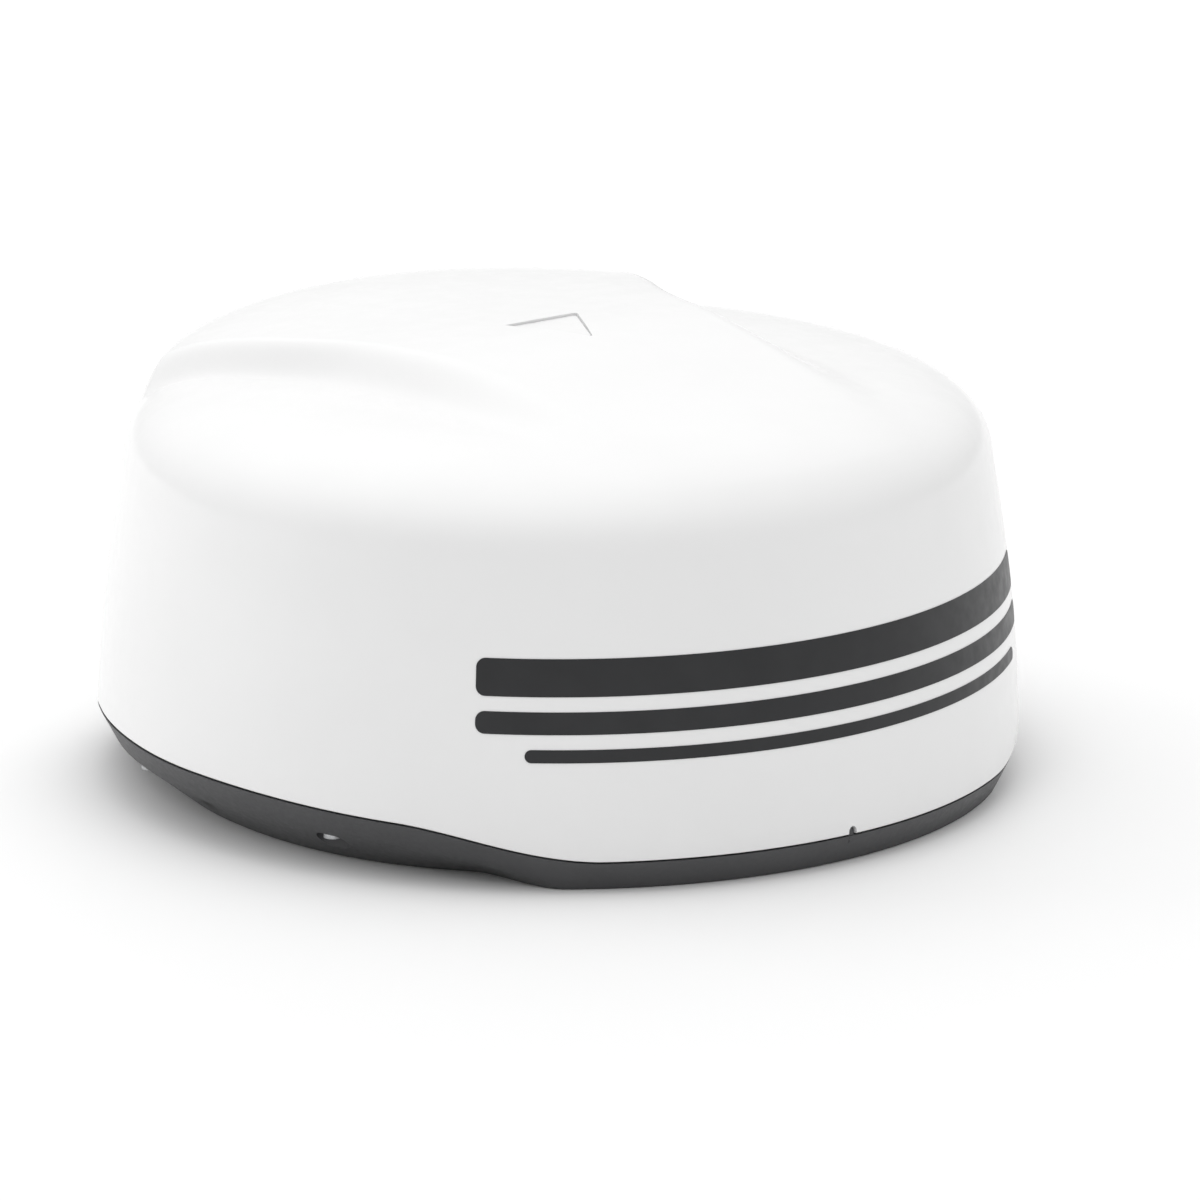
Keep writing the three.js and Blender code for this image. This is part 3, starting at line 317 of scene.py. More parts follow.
def pipe_of(points, radius, sides):
    """A round bar along points, eased with a spline, with flat ends."""
    path = [Vector(p) for p in points]
    fine = []
    for i, (a, b) in enumerate(zip(path, path[1:])):
        before, after = path[max(i - 1, 0)], path[min(i + 2, len(path) - 1)]
        for t in (k / 6 for k in range(6)):
            curved = (2 * before - 5 * a + 4 * b - after) * t * t
            curved += (3 * a - before - 3 * b + after) * t**3
            fine.append(0.5 * ((2 * a) + (b - before) * t + curved))
    fine.append(path[-1])
    rings = []
    normal = (fine[1] - fine[0]).orthogonal().normalized()
    for i, point in enumerate(fine):
        along = (fine[min(i + 1, len(fine) - 1)] - fine[max(i - 1, 0)]).normalized()
        normal = (normal - along * normal.dot(along)).normalized()
        side = along.cross(normal)
        rings.append([point + radius * (cos(a) * normal + sin(a) * side) for a in turns(sides)])
    return loft(rings)


def finish_piece(made, node, angle=32):
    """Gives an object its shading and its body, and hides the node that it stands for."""
    for polygon in made.data.polygons:
        polygon.use_smooth = True
    made.data.set_sharp_from_angle(angle=radians(angle))
    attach(made, BODY_OF[node])
    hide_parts(node)


def shift(x, y, z):
    return Matrix.Translation((x, y, z))


TURN = {
    "z": Matrix.Identity(4),
    "y": Matrix.Rotation(radians(-90), 4, "X"),
    "x": Matrix.Rotation(radians(90), 4, "Y"),
}


def at_azimuth(radius, azimuth):
    x, y = place(radius, azimuth)
    return shift(float(x), float(y), 0) @ Matrix.Rotation(radians(azimuth), 4, "Z")


class Build:
    """A mesh gathered from closed parts, each with its own material."""

    def __init__(self):
        self.bm = bmesh.new()
        self.materials = []

    def take(self, part, material, matrix=None):
        if matrix is not None:
            part.transform(matrix)
        if material not in self.materials:
            self.materials.append(material)
        bmesh.ops.recalc_face_normals(part, faces=part.faces)
        for face in part.faces:
            face.material_index = self.materials.index(material)
        mesh = bpy.data.meshes.new("part")
        part.to_mesh(mesh)
        part.free()
        self.bm.from_mesh(mesh)
        bpy.data.meshes.remove(mesh)
        return self

    def block(self, material, x0, x1, y0, y1, z0, z1, bevel=0.4, segments=2):
        bevel = min(bevel, 0.3 * min(x1 - x0, y1 - y0, z1 - z0))
        return self.take(box_of(x0, x1, y0, y1, z0, z1, bevel, segments), material)

    def prism(self, material, outline, z0, z1, bevel):
        part = prism_of(outline, z0, z1)
        round_edges(part, bevel, 2, only_flat=(z0, z1))
        return self.take(part, material)

    def lathe(self, material, profile, centre=(0, 0, 0), axis="z", steps=48):
        return self.take(lathe_of(profile, steps), material, shift(*centre) @ TURN[axis])

    def disc(self, material, radius, z0, z1, x, y):
        edge = min(0.3, (z1 - z0) * 0.4, radius * 0.4)
        return self.lathe(material, bar(radius, z0, z1, edge, edge), (x, y, 0), steps=32)

    def piece(self, name, node):
        mesh = bpy.data.meshes.new(name)
        self.bm.transform(Matrix.Scale(MM, 4))
        self.bm.to_mesh(mesh)
        self.bm.free()
        for material in self.materials:
            mesh.materials.append(material)
        finish_piece(new_object(name, mesh), node)


def tool(part, matrix=None):
    """A closed bmesh as an object that cuts or joins."""
    if matrix is not None:
        part.transform(matrix)
    bmesh.ops.recalc_face_normals(part, faces=part.faces)
    part.transform(Matrix.Scale(MM, 4))
    mesh = bpy.data.meshes.new("tool")
    part.to_mesh(mesh)
    part.free()
    return new_object("tool", mesh)


def cube_tool(x0, x1, y0, y1, z0, z1, bevel=0.0, matrix=None):
    return tool(box_of(x0, x1, y0, y1, z0, z1, bevel), matrix)


def turned_tool(profile, x=0.0, y=0.0, z=0.0, axis="z", steps=48):
    return tool(lathe_of(profile, steps), shift(x, y, z) @ TURN[axis])


def drill(radius, low, high, x=0.0, y=0.0, z=0.0, axis="z", steps=32):
    return turned_tool(bar(radius, low, high), x, y, z, axis, steps)


def hexagon_tool(radius, low, high, x, y):
    """A six-sided bar: the drive cut into a screw's head, or a pillar."""
    return tool(prism_of(circle(radius, 6), low, high), shift(x, y, 0))


def carved(name, node, adds, cuts=(), angle=32):
    """One closed piece: the tools in adds joined, less the tools in cuts."""
    made = adds[0]
    if len(adds) > 1:
        combine(made, adds[1:], "UNION")
    if cuts:
        combine(made, cuts, "DIFFERENCE")
    made.name = made.data.name = name
    coat_with(made, FINISHES[SLOT_OF[node]])
    finish_piece(made, node, angle)


# ---------------------------------------------------------------- materials
NOISE_RANGE = (0.3, 0.7)  # the values between which most of a noise texture lies


class Nodes:
    """Adds nodes to a tree. An input takes a value, or is linked to another node's output."""

    def __init__(self, tree):
        self.tree = tree

    def put(self, socket, value):
        if isinstance(value, bpy.types.NodeSocket):
            self.tree.links.new(value, socket)
        else:
            socket.default_value = value

    def node(self, kind, inputs, **settings):
        made = self.tree.nodes.new(kind)
        for key, value in settings.items():
            setattr(made, key, value)
        for key, value in inputs.items():
            self.put(made.inputs[key], value)
        return made

    def maths(self, operation, *values):
        made = self.node("ShaderNodeMath", dict(enumerate(values)), operation=operation)
        return made.outputs["Value"]


class Paint(Nodes):
    """A procedural material in object coordinates, so every scale below is per metre."""

    def __init__(self, name, rough, metal=0.0, specular=0.5, coat=0.0, coat_rough=0.1):
        self.material = bpy.data.materials.new(name)
        self.material.use_nodes = True
        super().__init__(self.material.node_tree)
        self.inputs = self.tree.nodes["Principled BSDF"].inputs
        values = (rough, metal, specular, coat, coat_rough)
        names = ("Roughness", "Metallic", "Specular IOR Level", "Coat Weight", "Coat Roughness")
        for key, value in zip(names, values):
            self.put(self.inputs[key], value)
        self.place = self.node("ShaderNodeTexCoord", {}).outputs["Object"]
        self.normal = None

    def noise(self, scale, detail=2.0, rough=0.5, vector=None):
        inputs = {"Scale": scale, "Detail": detail, "Roughness": rough, "Vector": vector or self.place}
        return self.node("ShaderNodeTexNoise", {**inputs, "Distortion": 0.0}).outputs["Fac"]

    def cells(self, scale):
        inputs = {"Scale": scale, "Vector": self.place}
        return self.node("ShaderNodeTexVoronoi", inputs, feature="F1").outputs["Distance"]

    def span(self, value, low, high, out_low=0.0, out_high=1.0):
        names = ("Value", "From Min", "From Max", "To Min", "To Max")
        inputs = dict(zip(names, (value, low, high, out_low, out_high)))
        return self.node("ShaderNodeMapRange", inputs).outputs["Result"]

    def mix(self, share, a, b):
        a, b = ((*v, 1) if isinstance(v, tuple) else v for v in (a, b))
        inputs = {"Factor": share, 6: a, 7: b}
        return self.node("ShaderNodeMix", inputs, data_type="RGBA").outputs[2]

    def shades(self, scale, detail, colour, dark, light, rough=0.5):
        """Drifts softly between a darker and a lighter share of a colour."""
        share = self.drift(scale, detail, 0.0, 1.0, rough)
        return self.mix(share, tint(colour, dark), tint(colour, light))

    def drift(self, scale, detail, low, high, rough=0.5):
        return self.span(self.noise(scale, detail, rough), *NOISE_RANGE, low, high)

    def finish(self, colour, roughness, *reliefs):
        """Connects the colour and the roughness, and raises the surface by each height
        times a depth in millimetres."""
        self.put(self.inputs["Base Color"], colour)
        if roughness is not None:
            self.put(self.inputs["Roughness"], roughness)
        for height, depth in reliefs:
            inputs = {"Strength": 1.0, "Distance": depth * MM, "Height": height}
            if self.normal:
                inputs["Normal"] = self.normal
            self.normal = self.node("ShaderNodeBump", inputs).outputs["Normal"]
            self.put(self.inputs["Normal"], self.normal)
        return self.material


def tint(colour, share):
    return tuple(min(c * share, 1.0) for c in colour)


def gelcoat():
    p = Paint("gelcoat_white", 0.2, specular=0.45, coat=0.12, coat_rough=0.12)
    white = (0.84, 0.84, 0.84)
    cloud = p.span(p.noise(9, 3), 0.35, 0.65)
    base = p.mix(cloud, tint(white, 0.988), tint(white, 1.006))
    speck = p.span(p.cells(190), 0.0, 0.035, 1.0, 0.0)
    colour = p.mix(p.maths("MULTIPLY", speck, 0.16), base, (0.6, 0.59, 0.57))
    reliefs = (p.noise(230, 2, 0.4), 0.006), (p.noise(35, 1, 0.4), 0.01)
    return p.finish(colour, p.drift(60, 4, 0.17, 0.25, 0.6), *reliefs)


def powder_coat(name, colour, rough=0.46):
    p = Paint(name, rough)
    grain = p.maths("MULTIPLY", p.span(p.noise(1900, 2, 0.6), 0.35, 0.7), 0.22)
    spotted = p.mix(grain, p.shades(22, 4, colour, 0.93, 1.07, 0.6), tint(colour, 1.5))
    worn = p.drift(300, 3, rough - 0.05, rough + 0.07, 0.6)
    return p.finish(spotted, worn, (p.noise(1300, 3, 0.55), 0.05), (p.noise(210, 2), 0.03))


def vinyl():
    p = Paint("vinyl_graphite", 0.42, specular=0.35)
    ink = p.shades(45, 4, (0.021, 0.0215, 0.023), 0.92, 1.12)
    return p.finish(ink, p.drift(140, 3, 0.33, 0.44), (p.noise(900), 0.012))


def rubber():
    p = Paint("rubber_black", 0.72, specular=0.3)
    colour = p.mix(p.drift(80, 4, 0.0, 1.0), (0.009, 0.009, 0.009), (0.02, 0.02, 0.021))
    return p.finish(colour, p.drift(500, 3, 0.62, 0.82), (p.noise(1500, 3, 0.6), 0.03))


def moulded_plastic(name, colour, rough=0.5):
    p = Paint(name, rough, specular=0.42)
    worn = p.drift(260, 3, rough - 0.07, rough + 0.08)
    reliefs = (p.cells(1500), 0.02), (p.noise(2600, 2, 0.6), 0.015)
    return p.finish(p.shades(70, 3, colour, 0.9, 1.14), worn, *reliefs)


def cast_metal():
    p = Paint("aluminium_cast", 0.5, metal=0.9)
    colour = p.mix(p.drift(55, 5, 0.0, 1.0, 0.65), (0.36, 0.37, 0.38), (0.5, 0.51, 0.52))
    reliefs = (p.noise(900, 4, 0.7), 0.06), (p.cells(420), 0.03)
    return p.finish(colour, p.drift(420, 4, 0.42, 0.62, 0.6), *reliefs)


def drawn_metal(name, colour, rough, along, depth=0.012):
    """Metal with a fine grain, drawn out where a share of along is small."""
    p = Paint(name, rough, metal=1.0)
    mapping = p.node("ShaderNodeMapping", {"Scale": along, "Vector": p.place})
    grain = p.noise(1700, 3, 0.6, mapping.outputs["Vector"])
    base = p.shades(40, 3, colour, 0.94, 1.06)
    streaked = p.mix(p.span(grain, *NOISE_RANGE, 0.0, 0.35), base, tint(colour, 0.8))
    worn = p.span(grain, *NOISE_RANGE, rough - 0.06, rough + 0.1)
    return p.finish(streaked, worn, (grain, depth))


def acetal():
    p = Paint("acetal_ivory", 0.42, specular=0.4)
    p.put(p.inputs["Subsurface Weight"], 0.08)
    p.put(p.inputs["Subsurface Radius"], (0.002, 0.0015, 0.001))
    ivory = p.shades(60, 3, (0.76, 0.73, 0.64), 0.96, 1.03)
    return p.finish(ivory, p.drift(500, 3, 0.36, 0.5), (p.noise(1200), 0.01))


def foam():
    p = Paint("foam_white", 0.9, specular=0.2)
    cell = p.cells(900)
    colour = p.mix(p.span(cell, 0.1, 0.7), (0.6, 0.58, 0.53), (0.82, 0.8, 0.76))
    return p.finish(colour, None, (cell, 0.35))


def solder_mask():
    """Green lacquer over copper: tracks show as slightly lighter lines, 2.5 mm apart."""
    p = Paint("solder_mask", 0.32, coat=0.3, coat_rough=0.15)
    bricks = {
        "Scale": 1.0, "Brick Width": 0.0125, "Row Height": 0.0025, "Mortar Size": 0.0003,
        "Mortar Smooth": 0.1, "Vector": p.place,
    }
    tracks = p.node("ShaderNodeTexBrick", bricks, offset=0.37, squash=0.6, squash_frequency=3)
    lines = tracks.outputs["Fac"]
    base = p.shades(90, 4, (0.012, 0.105, 0.045), 0.85, 1.15)
    colour = p.mix(p.maths("MULTIPLY", lines, 0.6), base, (0.03, 0.22, 0.1))
    return p.finish(colour, p.drift(400, 3, 0.26, 0.4), (lines, 0.04), (p.noise(1200), 0.01))


def plain_paint(name, colour, rough, metal=0.0):
    p = Paint(name, rough, metal=metal)
    worn = p.drift(350, 3, rough - 0.06, rough + 0.08)
    return p.finish(p.shades(110, 4, colour, 0.88, 1.12, 0.6), worn, (p.noise(1500, 3), 0.015))


GELCOAT = gelcoat()
CHARCOAL = powder_coat("powder_coat_charcoal", (0.054, 0.0545, 0.057))
VINYL = vinyl()
RUBBER = rubber()
BLACK = moulded_plastic("plastic_black", (0.014, 0.014, 0.015))
CAST = cast_metal()
SHEET = drawn_metal("aluminium_sheet", (0.58, 0.6, 0.61), 0.34, (0.04, 1, 1))
STEEL = drawn_metal("bearing_steel", (0.38, 0.39, 0.41), 0.24, (1, 1, 0.05), 0.006)
STAINLESS = drawn_metal("stainless_bright", (0.6, 0.61, 0.62), 0.24, (1, 1, 0.08), 0.006)
BRASS = drawn_metal("brass_turned", (0.6, 0.4, 0.14), 0.28, (1, 1, 0.06), 0.008)
COPPER = drawn_metal("copper_gilt", (0.72, 0.5, 0.2), 0.3, (0.2, 1, 1), 0.004)
WIRE = drawn_metal("copper_wire", (0.55, 0.24, 0.1), 0.35, (1, 0.1, 1), 0.02)
ACETAL = acetal()
FOAM = foam()
GREEN = solder_mask()
DARK = powder_coat("motor_black", (0.03, 0.032, 0.036), 0.42)
MAGNET = plain_paint("magnet_grey", (0.1, 0.105, 0.115), 0.38, 0.7)
CHIP = plain_paint("chip_black", (0.018, 0.018, 0.02), 0.5)
CERAMIC = plain_paint("ceramic_tan", (0.45, 0.33, 0.2), 0.5)
SLEEVE = plain_paint("sleeve_blue", (0.025, 0.05, 0.13), 0.35)
NYLON = plain_paint("nylon_white", (0.7, 0.69, 0.65), 0.45)
FINISHES = {
    "dome_white": GELCOAT, "graphic": VINYL, "base_charcoal": CHARCOAL, "rubber_black": RUBBER,
    "plastic_black": BLACK, "cast_aluminium": CAST, "sheet_aluminium": SHEET, "bearing_steel": STEEL,
    "stainless": STAINLESS, "brass": BRASS, "gear_white": ACETAL, "circuit_green": GREEN,
    "foam_white": FOAM, "motor_dark": DARK,
}


# ---------------------------------------------------------------- the dome
def dome_rows():
    """Radii and heights of the dome's whole section, for each azimuth."""
    low = parting(AZIMUTHS) + PARTING_GAP / 2
    roof_r, roof_z = roof_profile()
    joint = roof_z[0]
    share = np.linspace(0, 1, 19)[:-1][None, :]
    wall_z = low + 0.9 + (joint - low - 0.9) * share
    outer_r = np.concatenate([wall_radius(wall_z), np.tile(roof_r, (AROUND, 1))], 1)
    x, y = place(roof_r[None, :], AZIMUTHS)
    raised = roof_z[None, :] + plateau(x, y, roof_r[None, :])
    outer_z = np.concatenate([wall_z, raised], 1)
    # The lower edge: a small radius outside, flat, then the inner face.
    foot_r = wall_radius(low)
    curl = [(sin(a) - 1, 1 - cos(a)) for a in np.radians((0, 25, 50, 72))]
    edge_r = np.concatenate([foot_r - DOME_WALL] + [foot_r + 0.9 * s for s, _ in curl], 1)
    edge_z = np.concatenate([low] + [low + 0.9 * c for _, c in curl], 1)
    # The inner face follows the outer one, a wall's thickness in.
    pick = np.unique(np.round(np.linspace(2, len(roof_r) - 1, 34)).astype(int))
    slope_r, slope_z = np.gradient(roof_r), np.gradient(roof_z)
    length = np.hypot(slope_r, slope_z)
    in_r = np.maximum(roof_r - DOME_WALL * slope_z / length, 0)[pick]
    in_z = (raised + DOME_WALL * (slope_r / length)[None, :])[:, pick]
    in_r[-1] = 0
    in_z[:, -1] = in_z[0, -1]
    inner_r = np.tile(in_r[::-1], (AROUND, 1))
    radii = np.concatenate([inner_r, edge_r, outer_r], 1)
    heights = np.concatenate([in_z[:, ::-1], edge_z, outer_z], 1)
    return radii, heights


def arrow_outline(grow=0.0):
    """A triangle that points to the bow, with a softer corner to starboard."""
    corners = [(-24.5, 15.0, 1.2), (24.5, 15.0, 3.6), (0.0, -30.0, 2.0)]
    incentre, inradius = Vector((0, 0.44)), 14.56
    points = []
    for i, (x, y, reach) in enumerate(corners):
        here = Vector((x, y))
        before = (Vector(corners[i - 1][:2]) - here).normalized()
        after = (Vector(corners[(i + 1) % 3][:2]) - here).normalized()
        a, b = here + before * reach, here + after * reach
        for k in range(7):
            t = k / 6
            points.append((1 - t) ** 2 * a + 2 * t * (1 - t) * here + t * t * b)
    share = 1 + grow / inradius
    return [tuple(incentre + (p - incentre) * share) for p in points]


def arch_outline(half, low, shoulder, steps=14):
    turns = [pi * k / steps for k in range(steps + 1)]
    return [(-half, low), (half, low)] + [
        (half * cos(a), shoulder + half * 1.15 * sin(a)) for a in turns
    ]


def upright_arch(half, low, shoulder, y0, y1):
    part = prism_of(arch_outline(half, low, shoulder), -y1, -y0)
    return tool(part, Matrix.Rotation(radians(90), 4, "X"))


def arrow_tool(grow, low, high):
    return tool(prism_of(arrow_outline(grow)[::-1], low, high))


def build_dome():
    radii, heights = dome_rows()
    shell = new_object("dome_shell", ring_mesh("dome_shell", radii, heights))
    arch = upright_arch(2.6, 8, PARTING_BOW + 2.0, -262, -249.6)
    # A fine channel round the recess's foot.
    channel = arrow_tool(0.3, 245.5, 250)
    combine(channel, [arrow_tool(-0.45, 240, 246.6)], "DIFFERENCE")
    combine(shell, [arrow_tool(0.3, 246.6, 256), channel, arch], "DIFFERENCE")
    bosses = []
    holes = []
    for azimuth in SCREW_AZIMUTHS:
        low = float(parting(azimuth)) + LIP_HEIGHT + 1.5
        high = low + 30
        turn = at_azimuth(SCREW_RADIUS, azimuth)
        bosses.append(tool(lathe_of(bar(7, low, high, 0.4, 2), 40), turn))
        reach = float(wall_radius(high)) - DOME_WALL + 1.5 - SCREW_RADIUS
        bosses.append(tool(box_of(-2.5, 2.5, -reach, 0, low, high, 0.8, 2), turn))
        holes.append(tool(lathe_of(bar(4.6, low - 2, low + 18.5), 32), turn))
    combine(shell, bosses, "UNION")
    combine(shell, holes, "DIFFERENCE")
    coat_with(shell, GELCOAT)
    finish_piece(shell, "dome_cover", 28)


STRIPE_RADIUS = 250  # the wall's radius at the stripes, near enough for their corners
STRIPE_OFF = (0.05, 0.32)  # how far the stripe's two faces stand off the wall


def build_stripe(name, low, high, half_span):
    """A stripe of vinyl round the bow, with round corners, that stands just off the wall."""
    across = np.linspace(0, 1, 13)
    corner = min((high - low) / 2, 5.0)
    turn = degrees(corner / STRIPE_RADIUS)  # the azimuth that a corner takes
    end = [half_span - turn * (1 - cos(a)) for a in np.radians(np.arange(0, 90, 9))]
    middle = np.linspace(turn - half_span, half_span - turn, int(half_span * 4))
    rings = []
    for azimuth in [-a for a in end] + list(middle) + end[::-1]:
        inward = (half_span - abs(azimuth)) * radians(1) * STRIPE_RADIUS
        cut = corner - sqrt(max(corner**2 - max(corner - inward, 0) ** 2, 0))
        up = low + cut + (high - low - 2 * cut) * across
        for off, z in zip(STRIPE_OFF, (up, up[::-1])):
            rings.append(np.stack([*place(wall_radius(z) + off, azimuth), z], -1))
    vertices = np.concatenate(rings)
    count = 2 * len(across)
    starts = range(0, len(vertices), count)
    faces = [tuple(reversed(range(count))), tuple(starts[-1] + k for k in range(count))]
    for a, b in zip(starts, starts[1:]):
        for k in range(count):
            n = (k + 1) % count
            faces.append((a + k, a + n, b + n, b + k))
    mesh = new_mesh(name, vertices, faces)
    mesh.materials.append(VINYL)
    finish_piece(new_object(name, mesh), name.replace("_vinyl", ""), 40)


# ---------------------------------------------------------------- the base
def base_corners(azimuth):
    f = folded(azimuth)
    share = 1 - np.exp(-np.maximum(f - 38, 0) / 14)
    band_radius = 245.3 + (242.0 - 245.3) * share
    band_low = 0.8 + (24.3 - 0.8) * share
    narrow = 217.5 + (213.0 - 217.5) * smooth(60, 95, from_bow(azimuth))
    foot = np.minimum(245 + (narrow - 245) * smooth(37, 50, f), band_radius - 0.3)
    return band_radius, band_low, foot, parting(azimuth) - PARTING_GAP / 2


def rounded(before, corner, after, reach, steps=4):
    """Points round a corner of a section: arrays for every azimuth."""
    out = []
    lead = [c - b for b, c in zip(before, corner)]
    tail = [a - c for a, c in zip(after, corner)]
    lead_size = np.hypot(*lead)
    tail_size = np.hypot(*tail)
    near = np.minimum(reach, 0.45 * lead_size) / np.maximum(lead_size, 1e-9)
    far = np.minimum(reach, 0.45 * tail_size) / np.maximum(tail_size, 1e-9)
    start = [c - v * near for c, v in zip(corner, lead)]
    end = [c + v * far for c, v in zip(corner, tail)]
    for t in np.linspace(0, 1, steps):
        shares = (1 - t) ** 2, 2 * t * (1 - t), t * t
        out.append([sum(w * v for w, v in zip(shares, p)) for p in zip(start, corner, end)])
    return out


def base_section(azimuth):
    band_radius, band_low, foot, rim = base_corners(azimuth)
    zero = np.zeros_like(rim)
    inner = band_radius - 4
    floor_r = np.minimum(foot - 3, inner - 1)
    wall_low = np.maximum(band_low + 3, FLOOR + 1)
    corners = [
        (foot, zero, 1.2), (band_radius, band_low, 3.0), (zero + BASE_RADIUS, rim, 0.6),
        (zero + GROOVE_OUTER, rim, 0.3), (zero + GROOVE_OUTER, rim - GROOVE_DEPTH, 0.3),
        (zero + LIP_OUTER, rim - GROOVE_DEPTH, 0.3), (zero + LIP_OUTER, rim + LIP_HEIGHT, 0.8),
        (zero + LIP_INNER, rim + LIP_HEIGHT, 0.8), (inner, wall_low, 3.0), (floor_r, zero + FLOOR, 4.0),
    ]
    line = [(zero, zero)] + [(r, z) for r, z, _ in corners] + [(zero, zero + FLOOR)]
    points = [(zero, zero), (foot * 0.5, zero), (foot - 6, zero)]
    for i, (_, _, reach) in enumerate(corners):
        points += rounded(line[i], line[i + 1], line[i + 2], reach)
        if i in (0, 1):  # extra rows over the facet and the band, for even shading
            here, there = line[i + 1], line[i + 2]
            points += [
                tuple(h + (t - h) * s for h, t in zip(here, there)) for s in (0.35, 0.5, 0.65)
            ]
    points += [(floor_r * 0.6, zero + FLOOR), (zero, zero + FLOOR)]
    radii = np.concatenate([np.broadcast_to(r, azimuth.shape) for r, _ in points], 1)
    heights = np.concatenate([np.broadcast_to(z, azimuth.shape) for _, z in points], 1)
    return radii, heights


def trimming_section(azimuth):
    band_radius, band_low, foot, rim = base_corners(azimuth)
    zero = np.zeros_like(rim)
    inset = 1.3
    points = [
        (zero, zero + 0.7), (foot - inset, zero + 0.7), (band_radius - inset, band_low + 0.7),
        (zero + BASE_RADIUS - 2 * inset, rim - 4), (zero + LIP_INNER - 1, rim + LIP_HEIGHT - 1),
        (zero + 200, zero + 45), (zero, zero + 60),
    ]
    return np.concatenate([r for r, _ in points], 1), np.concatenate([z for _, z in points], 1)


def build_base():
    pan = new_object("base_casting", ring_mesh("base_casting", *base_section(AZIMUTHS)))
    seats = []
    pockets = []
    for places, radius, length, width, ceiling in (
        (SCREW_AZIMUTHS, SCREW_RADIUS, 19.0, 11.5, 21.4),
        (NOTCH_AZIMUTHS, NOTCH_RADIUS, 17.0, 9.0, 17.0),
    ):
        for a in places:
            turn = at_azimuth(radius, a)
            x, y = (length + 7) / 2, (width + 7.5) / 2
            seats.append(cube_tool(-x, x, -y, y, FLOOR - 1, ceiling + 3, 1.5, turn))
            pocket = prism_of(oblong(length, width), -2, ceiling)
            round_edges(pocket, 0.8, 3, only_flat=(ceiling,))
            pockets.append(tool(pocket, turn))
    for a in SCREW_AZIMUTHS:
        top = float(parting(a)) + LIP_HEIGHT - 1
        turn = at_azimuth(SCREW_RADIUS, a)
        seats.append(tool(lathe_of(bar(7.2, 21, top, 0, 0.6), 40), turn))
        pockets.append(tool(lathe_of(bar(3.25, 10, 60), 28), turn))
    for x, y in MOUNTS:
        seat = [(0, 1), (14, 1), (12, 7), (12, 20.4), (11.4, 21), (0, 21)]
        bore = [(0, -2), (8.1, -2), (7.3, 0.9), (7.3, 18.3), (0, 18.3)]
        seats.append(turned_tool(seat, x, y, steps=40))
        pockets.append(turned_tool(bore, x, y, steps=40))
    for x, y in CHASSIS_SCREWS:
        seat = [(0, 1), (8.5, 1), (7, 6), (7, 15.6), (6.6, 16), (0, 16)]
        seats.append(turned_tool(seat, x, y, steps=32))
        pockets.append(drill(2.4, 6, 20, x, y, steps=20))
    seats.append(cube_tool(-54.5, 54.5, 145.5, 204.5, 1, 32.5, 2.0))
    for k in range(10):  # ribs that stiffen the floor
        turn = Matrix.Rotation(radians(18 + 36 * k), 4, "Z")
        seats.append(cube_tool(-1.3, 1.3, -196, -152, FLOOR - 1, FLOOR + 7, 0.7, turn))
    bulk = new_object("bulk", ring_mesh("bulk", *trimming_section(AZIMUTHS)))
    joined = seats[0]
    combine(joined, seats[1:], "UNION")
    combine(joined, [bulk], "INTERSECT")
    combine(pan, [joined], "UNION")
    pockets.append(cube_tool(-50, 50, 150, 200, -8, 28, 3.0))
    pockets += [drill(8.8, -8, 3, x, 150, 15, "y") for x in (-24, 24)]
    pockets.append(drill(5.3, -2, 6, 0, -150, steps=28))
    # The short slanting witness groove under the locating tab.
    lean = shift(-0.9, -251.9, 13.4) @ Matrix.Rotation(radians(-16), 4, "Y")
    pockets.append(tool(box_of(-0.275, 0.275, -1.5, 1.5, -1.8, 1.8, 0.15, 2), lean))
    combine(pan, pockets, "DIFFERENCE")
    tab = upright_arch(1.9, 13.5, PARTING_BOW + 1.7, -252.6, -250.9)
    combine(pan, [tab], "UNION")
    coat_with(pan, CHARCOAL)
    finish_piece(pan, "base_pan", 24)


def build_gasket():
    rim = parting(AZIMUTHS) - PARTING_GAP / 2
    inner, outer = LIP_OUTER + 0.3, GROOVE_OUTER - 0.3
    low, high = rim - GROOVE_DEPTH + 0.3, rim + PARTING_GAP - 0.3
    middle, half = (inner + outer) / 2, (outer - inner) / 2
    angles = turns(12)
    radii = np.concatenate([np.full_like(rim, middle + half * cos(a)) for a in angles], 1)
    heights = np.concatenate([(low + high) / 2 + (high - low) / 2 * sin(a) for a in angles], 1)
    mesh = ring_mesh("gasket_cord", radii, heights, closed=True)
    mesh.materials.append(RUBBER)
    finish_piece(new_object("gasket_cord", mesh), "dome_gasket", 60)


# ---------------------------------------------------------------- fittings in the base and dome
def threads(radius, low, high, pitch, depth):
    """A thread's ridges as rings of a profile, from low to high."""
    points = []
    for k in range(int((high - low) / pitch)):
        z = low + k * pitch
        points += [(radius, z + 0.12 * pitch), (radius - depth, z + 0.56 * pitch)]
    return points


